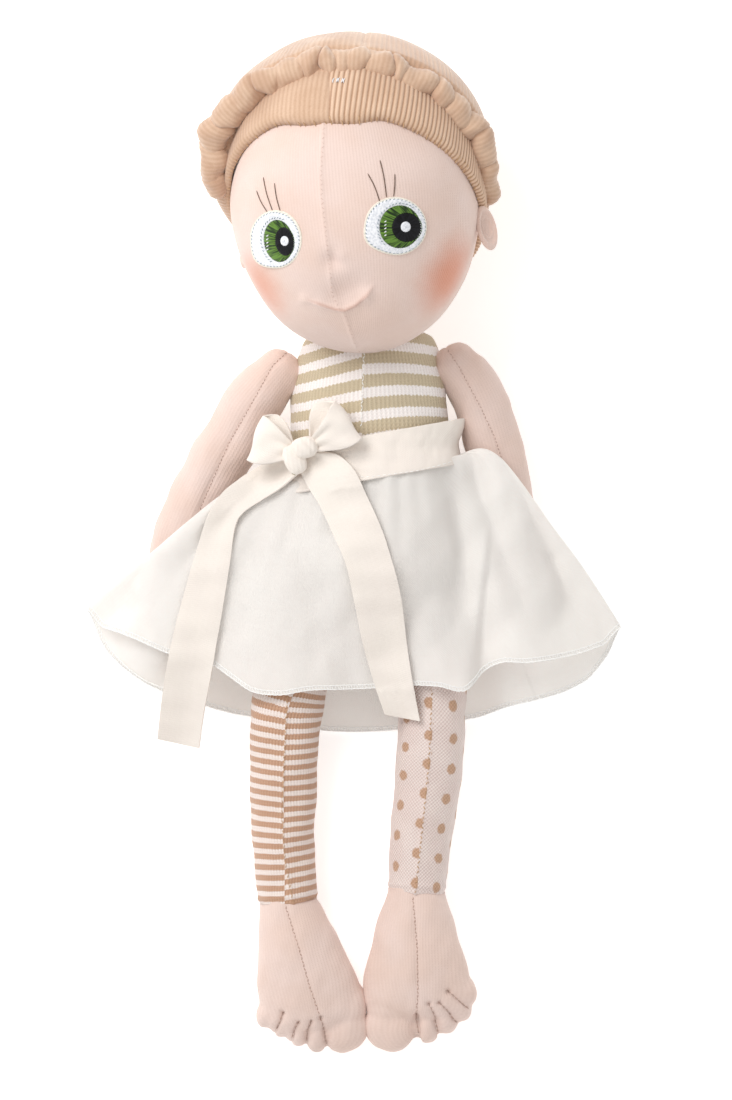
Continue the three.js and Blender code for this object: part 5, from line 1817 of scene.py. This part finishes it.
def over_both(limbs, x, y):
    return np.maximum(over_limb(limbs["left"], x, y), over_limb(limbs["right"], x, y))


def beside(inside, outside, x, y):
    """Rises from 0 at one slanting line to 1 at another."""
    return ease((x - line_x(inside, y)) / (line_x(outside, y) - line_x(inside, y)))


def back_level(x, y):
    wings = np.maximum(beside(inside_left, outside_left, x, y), beside(inside_right, outside_right, x, y))
    return mix(table_cloth, np.maximum(over_both(arm_rows, x, y), wing_level), wings)


def front_level(x, y):
    return np.maximum(over_both(leg_rows, x, y), over_torso(x, y))


print("heights ready")

# %% [markdown]
# ## How the skirt hangs
# Between waist and hem the cloth runs straight, then rises to the height that it needs. It
# rounds over the side folds, and the front layer keeps a gap above the back layer.

# %% Skirt shape
fold_open, fold_run, layer_gap = 1.5, 12, 2.2


def cloth_grid(across, down, is_back):
    """Points of one layer: share across from the left fold, share down from the waist."""
    hem = back_hem if is_back else front_hem
    hem_x = mix(hem[0, 0], hem[-1, 0], across)
    hem_point = joined(hem_x, along_x(hem, hem_x, 1), along_x(hem, hem_x, 2))
    turn = (1 - across) * math.pi
    waist_x = waist_centre[0] + waist_half[0] * np.cos(turn)
    waist_y = waist_centre[1] + waist_slope * (waist_x - waist_centre[0])
    waist_z = waist_centre[2] + (-1 if is_back else 1) * waist_half[1] * np.sin(turn)
    left, right = rows_at(fold_left, down), rows_at(fold_right, down)
    part = down[..., None]
    plain = mix(joined(waist_x, waist_y, waist_z), hem_point, part)
    for weight, fold, table in ((1 - across, left, fold_left), (across, right, fold_right)):
        off_straight = fold - mix(table[0], table[-1], part)
        plain[..., :2] += (weight[..., None] * off_straight)[..., :2]
    x, y, z = np.moveaxis(plain, -1, 0)
    from_left, from_right = x - left[..., 0], right[..., 0] - x
    inward = np.maximum(np.minimum(from_left, from_right), 0)
    level = np.where(from_left < from_right, left[..., 2], right[..., 2])
    rounded = round_edge(inward / fold_open)
    part = ease(inward / fold_run)
    resting = np.maximum(back_level(x, y), table_cloth)
    lower = mix(level - fold_open * rounded, resting, part)
    height = np.maximum(np.maximum(lower, over_arm(x, y)), table_cloth)
    if not is_back:
        upper = np.maximum(z, front_level(x, y))
        opened = mix(level + fold_open * rounded, upper, part)
        height = np.maximum(opened, height + layer_gap * rounded)
    return joined(x, y, np.where(down == 0, z, height))


def calmed(values, times):
    """Evens out a grid of heights and leaves its edges where they are."""
    values = values.copy()
    for _ in range(times):
        values[:, 1:-1] = values[:, 1:-1] * 0.5 + (values[:, :-2] + values[:, 2:]) * 0.25
        values[1:-1] = values[1:-1] * 0.5 + (values[:-2] + values[2:]) * 0.25
    return values


def layer_grid(columns, rows, is_back):
    turn = np.linspace(0, math.pi, columns + 1)
    across, down = np.meshgrid((1 - np.cos(turn)) / 2, np.linspace(0, 1, rows + 1))
    return cloth_grid(across, down, is_back), across, down


front_points, front_across, front_down = layer_grid(300, 120, False)
back_points, back_across, _ = layer_grid(220, 80, True)
need = front_points[..., 2].copy()
print("skirt from x", front_points[..., 0].min().round(1), "to", front_points[..., 0].max().round(1))

# %% [markdown]
# ## Folds in the skirt
# Thin lawn falls in long soft folds that start as small puckers at the waist and fan out to
# the hem. Each fold is a ridge between a place on the waist and a place on the hem. One
# fold on the doll's left stands up as a crisp edge, where the front turns onto the wing.

# %% Skirt folds
# at the waist and at the hem in millimetres of x, how high, how wide
fan = [
    (-14, -44, 1.6, 4.5), (-9, -30, 0.9, 3.5), (-4, -21, 1.5, 4.0), (-1, -13, 0.9, 3.0), (3, -6, 1.6, 4.2),
    (8, 3, 1.0, 3.2), (12, 11, 1.5, 4.0), (17, 20, 1.2, 3.6), (22, 30, 1.6, 4.4), (27, 37, 0.9, 3.0),
    (33, 52, 1.3, 4.5), (36, 64, 1.2, 5.0), (-20, -58, 1.2, 5.0), (-23, -72, 0.9, 4.5),
]
crisp_top, crisp_end, crisp_high = (45.5, 6.8), (39.4, -51.0), 2.4


def fold_lift(points, down):
    x, y = points[..., 0], points[..., 1]
    lift = np.zeros(x.shape)
    for index, (at_waist, at_hem, high, wide) in enumerate(fan):
        bend = 1.6 * np.sin(down * 3.4 + index * 1.9)
        middle = mix(at_waist, at_hem, down**0.9) + bend * down
        spread = wide * (0.45 + 0.9 * down)
        grown = ease(down / 0.25) * (0.55 + 0.45 * np.sin(down * 4 + index))
        lift += high * grown * bell(x - middle, spread)
    inside = line_x((*crisp_top, *crisp_end), y) - x
    shoulder = np.where(inside > 0, bell(inside, 6), 1 - ease(-inside / 1.3))
    lift += crisp_high * shoulder * ease((crisp_top[1] + 4 - y) / 22)
    return lift


def puckers(across, down):
    fine = np.sin(across * 150 + 2 * np.sin(across * 31)) * 0.5 + 0.5
    coarse = np.sin(across * 62 + 3 * np.sin(across * 13)) * 0.5 + 0.5
    return 0.5 * fine * np.exp(-down / 0.07) + 0.9 * coarse * np.exp(-down / 0.2)


def off_folds(across):
    """1 but near the two side folds, where it falls to 0."""
    return ease(np.minimum(across, 1 - across) / 0.02)


def cloth_lay(points):
    """Flat coordinates on the cloth: across from the middle, and down from the top."""
    steps_across = np.linalg.norm(np.diff(points, axis=1, prepend=points[:, :1]), axis=-1)
    steps_down = np.linalg.norm(np.diff(points, axis=0, prepend=points[:1]), axis=-1)
    across = np.cumsum(steps_across, axis=1)
    across -= across[:, across.shape[1] // 2][:, None]
    return joined(across, np.cumsum(steps_down, axis=0), 0.0)


away_from_fold = off_folds(front_across)
height = np.maximum(calmed(need, 10), need - 0.15)
height += (fold_lift(front_points, front_down) + puckers(front_across, front_down)) * away_from_fold
wrinkles = lumps(front_points, 11, 0.5, 61) + lumps(front_points, 5, 0.16, 62)
height += (wrinkles + 0.4) * away_from_fold * ease(front_down / 0.1)
height = np.maximum(calmed(height, 2), need - 0.1)
front_points[..., 2] = height
back_need = back_points[..., 2].copy()
back_height = np.maximum(calmed(back_need, 6), back_need - 0.1)
high_up = np.clip((back_height - 2) / 6, 0, 1)
back_height += (lumps(back_points, 12, 0.5, 63) + 0.3) * high_up * 0.5 * off_folds(back_across)
back_points[..., 2] = np.maximum(back_height, table_cloth)
print("folds:", len(fan) + 1)

# %% [markdown]
# ## Cutting the cloth along the slopes of the legs
# Each place of the cloth has the lesser of two slopes: one down from the belly, one sideways
# off the leg. Each slope is straight, so the cloth is cut where one takes over from the
# other, and each piece is named for the slope that rules it.

# %% Cuts
middle_x = 4.0
lift_y = (-3.0, -26.0)
side_slopes = {
    "left": {"outer": (-68.0, -37.0), "inner": (middle_x, -4.0)},
    "right": {"outer": (68.0, 39.0), "inner": (middle_x, 11.0)},
}


def slope(value, ends):
    return (value - ends[0]) / (ends[1] - ends[0])


def shares_at(x, y):
    side = "left" if x < middle_x else "right"
    shares = {"down": slope(y, lift_y)}
    for name, ends in side_slopes[side].items():
        shares[name] = slope(x, ends)
    return side, shares


def cut_lines():
    """Each line in plan as a point and a direction across it."""
    lines = [((middle_x, 0), (1, 0)), ((0, lift_y[0]), (0, 1))]
    for slopes in side_slopes.values():
        for start, stop in slopes.values():
            rise, run = 1 / (lift_y[1] - lift_y[0]), 1 / (stop - start)
            lines.append(((start, lift_y[0]), (run, -rise)))
            lines.append(((start, 0), (1, 0)))
            lines.append(((stop, 0), (1, 0)))
    return lines


def region_of(x, y):
    side, shares = shares_at(x, y)
    if min(shares.values()) <= 0:
        return "trunk", "down"
    if shares["down"] <= min(shares["outer"], shares["inner"]) or min(shares.values()) >= 1:
        return side, "down"
    return side, "outer" if shares["outer"] < shares["inner"] else "inner"


def cut_up(built):
    """Cuts along the lines and gives the faces of each region."""
    for (x, y), (nx, ny) in cut_lines():
        everything = built.verts[:] + built.edges[:] + built.faces[:]
        place, across = (x * MM, y * MM, 0), (nx, ny, 0)
        bmesh.ops.bisect_plane(built, geom=everything, dist=1e-7, plane_co=place, plane_no=across)
    regions = {}
    for face in built.faces:
        centre = face.calc_center_median()
        regions.setdefault(region_of(centre.x / MM, centre.y / MM), []).append(face)
    return sorted(regions.items())


print("cuts:", len(cut_lines()))

# %% [markdown]
# ## Cloth that is cut
# A grid of cloth is cut into its regions first and made thick afterwards, so that the edges
# of two regions meet at rest.

# %% Pieces of cut cloth
def follow(part, side, way):
    """Makes a part ride on the trunk; any other part only has its transform baked into its points."""
    if side == "trunk":
        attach(part, "trunk")
        return part
    ends = lift_y if way == "down" else side_slopes[side][way]
    start, stop = [0.0, 0.0, 0.0], [0.0, 0.0, 0.0]
    axis = 1 if way == "down" else 0
    start[axis], stop[axis] = ends[0] * MM, ends[1] * MM
    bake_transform(part)
    return part


def dress_cloth(name, points, thick, lay, finish):
    """Cuts a grid of cloth into its regions and gives each part its thickness."""
    rows, wide = points.shape[:2]
    columns = (grid.reshape(-1, 3) for grid in (points, grid_normals(points, False), lay))
    built = bmesh.new()
    lay_layer = built.verts.layers.float_vector.new("lay")
    normal_layer = built.verts.layers.float_vector.new("up")
    corners = []
    for place, normal, flat in zip(*columns):
        corner = built.verts.new(place * MM)
        corner[lay_layer], corner[normal_layer] = flat, normal
        corners.append(corner)
    for row in range(rows - 1):
        for side in range(wide - 1):
            low, high = row * wide + side, (row + 1) * wide + side
            built.faces.new([corners[low], corners[high], corners[high + 1], corners[low + 1]])
    parts = []
    for (side, way), faces in cut_up(built):
        numbers, middle, up, flat, tops = {}, [], [], [], []
        for face in faces:
            ring = []
            for corner in face.verts:
                if corner not in numbers:
                    numbers[corner] = len(middle)
                    middle.append(np.array(corner.co) / MM)
                    up.append(np.array(corner[normal_layer]))
                    flat.append(np.array(corner[lay_layer]))
                ring.append(numbers[corner])
            tops.append(ring)
        middle, half = np.array(middle), unit(np.array(up)) * (thick / 2)
        count = len(middle)
        ways = dict.fromkeys(pair for ring in tops for pair in zip(ring, ring[1:] + ring[:1]))
        open_edges = [(first, second) for first, second in ways if (second, first) not in ways]
        shown = tops + [[index + count for index in ring[::-1]] for ring in tops]
        shown += [[second, first, first + count, second + count] for first, second in open_edges]
        both = np.concatenate([middle + half, middle - half])
        corners_lay = np.array(flat + flat)[np.concatenate([np.array(ring) for ring in shown])]
        part = to_mesh(f"{name}_{side}_{way}", both, shown, corners_lay, finish)
        outward(part)
        first_wall = len(tops) * 2
        rim = {key for face in part.data.polygons[first_wall:] for key in face.edge_keys}
        sharp = [tuple(sorted(edge.vertices)) in rim for edge in part.data.edges]
        part.data.attributes.new("sharp_edge", "BOOLEAN", "EDGE").data.foreach_set("value", sharp)
        parts.append(follow(part, side, way))
    built.free()
    return parts


def dress_threads(piece):
    """Cuts threads into the same regions."""
    built = bmesh.new()
    built.from_mesh(piece.data)
    regions = cut_up(built)
    built.faces.index_update()
    regions = [(region, {face.index for face in faces}) for region, faces in regions]
    cut = bpy.data.meshes.new("cut")
    built.to_mesh(cut)
    built.free()
    for (side, way), kept in regions:
        part = bmesh.new()
        part.from_mesh(cut)
        others = [face for face in part.faces if face.index not in kept]
        bmesh.ops.delete(part, geom=others, context="FACES")
        mesh = bpy.data.meshes.new(f"{piece.name}_{side}_{way}")
        part.to_mesh(mesh)
        part.free()
        for finish in piece.data.materials:
            mesh.materials.append(finish)
        thread_part = bpy.data.objects.new(mesh.name, mesh)
        scene.collection.objects.link(thread_part)
        follow(thread_part, side, way)
    bpy.data.objects.remove(piece)


least_side, least_share = 0.0105, 0.31


def declare(parts):
    """Works out each sheet's box and the area of one of its sides, in metres, and keeps nothing."""
    for part in parts:
        size = np.ptp(np.array([corner[:] for corner in part.bound_box]), axis=0)
        area = sum(face.area for face in part.data.polygons) / 2
        wide, long = max(size[0], least_side), max(math.hypot(size[1], size[2]), least_side)
        if area > wide * long:
            long = area / wide
        max(area, least_share * wide * long)


print("cut pieces ready")

# %% [markdown]
# ## The two layers
# The front layer covers the belly, the thighs and the arms. The back layer lies on the
# table between the arms and climbs over them at each side. Both meet at the side folds.

# %% Skirt layers
lawn_thick = 0.5
back = sheet_mesh("skirt_back", back_points, lawn_thick, cloth_lay(back_points), skirt_lawn)
front_parts = dress_cloth("skirt_front", front_points, lawn_thick, cloth_lay(front_points), skirt_lawn)
declare(front_parts)
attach(back, "trunk")
declare([back])
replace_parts(back, "skirt")
print("skirt parts:", len(front_parts) + 1)

# %% [markdown]
# ## Overlocked hem
# Both hems are finished on an overlock machine: close white stitches that wrap the raw edge
# between two running threads.

# %% Hem stitches
def hem_threads(name, points, pitch):
    """Wrapping stitches round the last row of a grid of cloth."""
    edge, inside = points[-1], points[-5]
    line = np.concatenate([[0], np.cumsum(np.linalg.norm(np.diff(edge, axis=0), axis=1))])
    count = int(line[-1] / pitch)
    threads = Threads(0.17)
    inward = unit(inside - edge)
    up = unit(np.cross(np.gradient(edge, axis=0), inward))
    up *= np.sign(up[:, 2:3])

    def at(distance, reach, lift):
        edge_at, in_at, up_at = (
            joined(*(np.interp(distance, line, column) for column in track.T))
            for track in (edge, inward, up)
        )
        return edge_at + in_at * reach + up_at * lift

    over = lawn_thick / 2 + 0.14
    for index in range(count):
        start = index * pitch
        lean = pitch * (0.55 + 0.2 * math.sin(index * 1.7))
        reach = 1.35 + 0.18 * math.sin(index * 2.9)
        threads.add([
            at(start, reach, over), at(start + lean * 0.5, reach * 0.5, over + 0.06),
            at(start + lean, -0.16, over * 0.4), at(start + lean, -0.16, -over * 0.4),
            at(start + lean * 0.6, reach * 0.5, -over), at(start + pitch, reach, -over * 0.8),
        ])
    for reach in (1.38, 0.05):
        steps = np.arange(0, line[-1], 0.9)
        wave = [at(step, reach + 0.1 * math.sin(step * 3), over + 0.08) for step in steps]
        threads.add(wave)
    return threads.build(name, hem_thread)


dress_threads(hem_threads("hem_front", front_points, 1.0))
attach(hem_threads("hem_back", back_points, 1.0), "trunk")
print("hems overlocked")

# %% [markdown]
# ## Sash
# The sash is a folded band of cotton. It slopes up to the doll's left, lies over the top of
# the skirt, and its upper edge stands off a little at the side. A running stitch closes the
# fold along the lower edge.

# %% Sash
sash_centre, sash_half, sash_slope, sash_level = (5.0, 29.6), (29.3, 19.5), 0.18, 20.2
sash_high, sash_thick, sash_girth, sash_sides = 15.4, 0.9, 24, 260
turn = round_steps(sash_sides)
level = np.linspace(1, -1, 34)[:, None]
stands_off = 2.9 * ease((level + 0.3) / 1.3) * bell(turn - 0.12, 0.42)
flare = 1.5 * ease((0.2 - level) / 1.2) + stands_off
x = sash_centre[0] + (sash_half[0] + flare) * np.cos(turn)
y = sash_centre[1] + sash_slope * (x - sash_centre[0]) + level * sash_high / 2
sash_points = joined(x, y, sash_level + (sash_half[1] + flare) * np.sin(turn))
from_knot = np.hypot(sash_points[..., 0] + 18, sash_points[..., 2] - 38)
pleats = 0.55 * np.sin(sash_points[..., 1] * 1.25 + 0.06 * sash_points[..., 0]) * np.exp(-from_knot / 16)
sash_relief = pleats + lumps(sash_points, 9, 0.35, 71) + lumps(sash_points, 4, 0.1, 72)
sash_points = off_table(pressed(sash_points, sash_relief + 0.2), table_gap + 0.5)
sash_lay = joined(np.linspace(0, TURN, sash_sides + 1) * sash_girth, level * sash_high / 2, 0.0)
sash = sheet_mesh("sash_band", sash_points, sash_thick, sash_lay, sash_cotton, closed=True)
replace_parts(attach(sash, "trunk"), "sash")
lower_edge = photo((340, 478), (372, 476.5), (416, 471), (440, 465), (455, 460.5))
sew("sash_stitches", "trunk", hem_thread, 0.11, Surface(sash), (lower_edge, 1.9, 1.2))
print("sash made")

# %% [markdown]
# ## Bow loops
# A loop is a band folded over on itself, gathered where the knot holds it. Seen from the
# front, its upper edge is open, and the back of the fold shows behind the front of it.

# %% Bow loops
def squared(cosine, power):
    """A cosine with fuller ends, so that a round turns boxy."""
    return np.sign(cosine) * np.abs(cosine) ** power


loops = {
    "left": {
        "at": (-21.6, 31.6, 38.4), "turn": 160, "rise": -10, "side": -1,
        "long": 13.4, "wide": 16.8, "high": 6.0, "open": 2.6,
    },
    "right": {
        "at": (-14.2, 33.6, 40.8), "turn": 36, "rise": 13, "side": 1,
        "long": 15.0, "wide": 16.2, "high": 7.6, "open": 4.2,
    },
}
for side, loop in loops.items():
    angle = round_steps(96)
    share = np.linspace(-1, 1, 30)[:, None]
    cosine, sine = np.cos(angle), np.sin(angle)
    out = loop["long"] * (0.5 + 0.5 * squared(cosine, 0.75))
    out_share = out / loop["long"]
    swell = np.sin(out_share * math.pi / 2)
    gather = mix(0.30, 1, swell)
    high = loop["high"] / 2 * sine * mix(0.45, 1, swell) * (1 + 0.3 * share)
    aside = loop["wide"] / 2 * share * gather * (1 - 0.04 * np.cos(angle * 2))
    behind, before = np.maximum(-sine, 0), np.maximum(sine, 0)
    arch = np.sin(np.clip(out_share, 0, 1) * math.pi) ** 0.8 * np.maximum(share, 0) ** 1.5
    aside = loop["side"] * (aside + loop["open"] * arch * (behind - 0.45 * before))
    high = high + 0.45 * np.sin(share * 8 + before * 2) * np.exp(-out / 5.5)
    high = high + 0.25 * np.sin(share * 5 + out * 0.6)
    out = out + 0.5 * np.sin(share * 3.2 + 0.4) * out_share
    x, y = turned_flat(out, aside, math.radians(loop["turn"]))
    points = joined(x, y, out * math.tan(math.radians(loop["rise"])) + high) + loop["at"]
    lay = joined(np.linspace(0, 2 * loop["long"], 97), share * loop["wide"] / 2, 0.0)
    piece = sheet_mesh(f"loop_{side}", points, 0.7, lay, sash_cotton, closed=True)
    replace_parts(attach(piece, "trunk"), f"bow_loop_{side}")
    declare([piece])
print("loops made")

# %% [markdown]
# ## Knot
# Two wraps of the band make the knot: one across the loops and one down over the tails.

# %% Knot
knots = {
    "upper": {"at": (-17.3, 32.9, 42.0), "half": (4.7, 3.7, 3.2), "turn": 14},
    "lower": {"at": (-20.6, 28.9, 40.6), "half": (3.7, 5.2, 3.2), "turn": 24},
}
for name, knot in knots.items():
    wide, long, high = knot["half"]
    polar = np.linspace(0, math.pi, 40)[1:-1][:, None]
    round_it = round_steps(64)
    sine = np.sin(polar) ** 0.72
    x = sine * squared(np.cos(round_it), 0.85) * wide
    y = -squared(np.cos(polar), 0.9) * long
    z = sine * np.sin(round_it) * high
    folds = 0.22 * np.sin(x * 2.1 + y * 0.8 + 1) + 0.12 * np.sin(x * 4.3 - y * 1.1)
    z = z + folds * np.clip(z / 2, 0, 1)
    points = turned(joined(x, y, z), 0, knot["turn"]) + knot["at"]
    poles = turned(np.array([[0, -long, 0], [0, long, 0]]), 0, knot["turn"]) + knot["at"]
    piece = tube_mesh(f"knot_{name}", points, looped(points), sash_cotton, poles)
    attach(piece, "trunk")
    if name == "upper":
        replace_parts(piece, "bow_knot")
tuck = Threads(0.2)
tuck.add([(-21.6, 24.1, 39.6), (-20.6, 23.7, 40.2), (-19.6, 24.2, 39.6)])
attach(tuck.build("knot_thread", olive_thread), "trunk")
print("knot tied")

# %% [markdown]
# ## Tails of the bow
# Each tail is laid on the skirt from the knot down. A place of the tail feels for the
# highest cloth near it, and the band comes down only gently after it leaves an edge, as
# doubled cotton does. Its edges in the picture give its path.

# %% Bow tails
tails = {
    "right": [
        ((302, 460), (320, 452)), ((300, 469), (338, 455)), ((308, 486), (354, 470)),
        ((321, 508), (366, 494)), ((334, 536), (380, 525)), ((346, 565), (389, 551)),
        ((354, 600), (400, 592)), ((362, 640), (407, 645)), ((372, 676), (413, 684)),
        ((385, 714), (420, 721)),
    ],
    "left": [
        ((287, 453), (300, 472)), ((266, 463), (281, 488)), ((244, 476), (262, 500)),
        ((222, 493), (243, 513)), ((207, 518), (235, 528)), ((196, 552), (230, 562)),
        ((185, 590), (224, 600)), ((175, 627), (217, 640)), ((167, 665), (211, 676)),
        ((161, 703), (204, 712)), ((157, 739), (199, 748)),
    ],
}
ground = Surface(*front_parts, back, sash, torso, *leg_pieces.values())
tail_rows, tail_columns, tail_feel, tail_fall = 110, 18, 2.0, 0.5
for side, edges in tails.items():
    table = np.array([[*photo(first)[0], *photo(second)[0]] for first, second in edges])
    lines = rows_at(table, np.linspace(0, 1, tail_rows + 1))
    part = np.linspace(0, 1, tail_columns + 1)
    plan = mix(lines[:, None, :2], lines[:, None, 2:], part[:, None])
    level = np.full(plan.shape[:2], 1.5)
    for spot in np.ndindex(level.shape):
        for shift in np.ndindex(3, 3):
            x, y = plan[spot] + (np.array(shift) - 1) * tail_feel
            hit, _ = ground.at(x, y)
            if hit is not None:
                level[spot] = max(level[spot], hit[2])
    gaps = np.linalg.norm(np.diff(plan.mean(axis=1), axis=0), axis=1)
    for row in range(1, tail_rows + 1):
        level[row] = np.maximum(level[row], level[row - 1] - tail_fall * gaps[row - 1])
    for row in range(tail_rows - 1, -1, -1):
        level[row] = np.maximum(level[row], level[row + 1] - tail_fall * gaps[row])
    level = np.maximum(calmed(level, 14), level - 0.2) + 0.75
    points = joined(plan[..., 0], plan[..., 1], level)
    points[..., 2] += lumps(points, 9, 0.3, 81) + 0.35 + 0.21 * np.cos(part * TURN)
    near_knot = np.exp(-np.linspace(0, 1, tail_rows + 1) / 0.09)[:, None]
    points[..., 2] += 0.7 * near_knot * (np.sin(part * 17 + 1) * 0.5 + 0.5)
    pieces = dress_cloth(f"tail_{side}", points, 0.8, cloth_lay(points), sash_cotton)
    declare(pieces)
    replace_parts(pieces[-1], f"bow_tail_{side}")
print("tails laid")

# %% [markdown]
# ## Light and floor
# The light is that of a soft white studio: a bright sky all round, a soft lamp above and to
# the left, and a pale floor. The floor glows a little, as a lit table does, which leaves
# almost no shadow round the doll and lightens its sides from below.

# %% Light and floor
def floor_paint(place, lay):
    return {"colour": shade(250, 250, 249)}


scene.view_settings.view_transform = "Standard"
world = bpy.data.worlds.new("studio")
scene.world = world
world.use_nodes = True
sky = world.node_tree.nodes["Background"]
sky.inputs["Color"].default_value = (1.0, 0.99, 0.98, 1.0)
sky.inputs["Strength"].default_value = 0.68
for name, where, wide, power in (
    ("lamp_left", (-0.55, 0.6, 0.85), 0.7, 8.0),
    ("lamp_low", (0.1, -1.3, 0.7), 1.2, 2.2),
):
    lamp = bpy.data.lights.new(name, "AREA")
    lamp.shape = "DISK"
    lamp.size = wide
    lamp.energy = power
    holder = bpy.data.objects.new(name, lamp)
    scene.collection.objects.link(holder)
    holder.location = where
    holder.rotation_euler = (-Vector(where)).to_track_quat("-Z", "Y").to_euler()
floor_half = 3000.0
corners = [(x * floor_half, y * floor_half, 0) for x, y in ((-1, -1), (1, -1), (1, 1), (-1, 1))]
floor_finish = finish_of("floor", floor_paint, 0.9, 0.0, glow=0.42)
floor = to_mesh("floor", corners, [(0, 1, 2, 3)], np.zeros((4, 3)), floor_finish)
floor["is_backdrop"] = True
print("studio lit")

# %% [markdown]
# ## Sizes
# The last cell prints the box of the imported model and the box of what is shown.

# %% Sizes
shown_box = [list(corner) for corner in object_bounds()]
for name, box in (("packed", cad_box), ("shown", shown_box)):
    print(name, [[round(v / MM, 1) for v in corner] for corner in box])
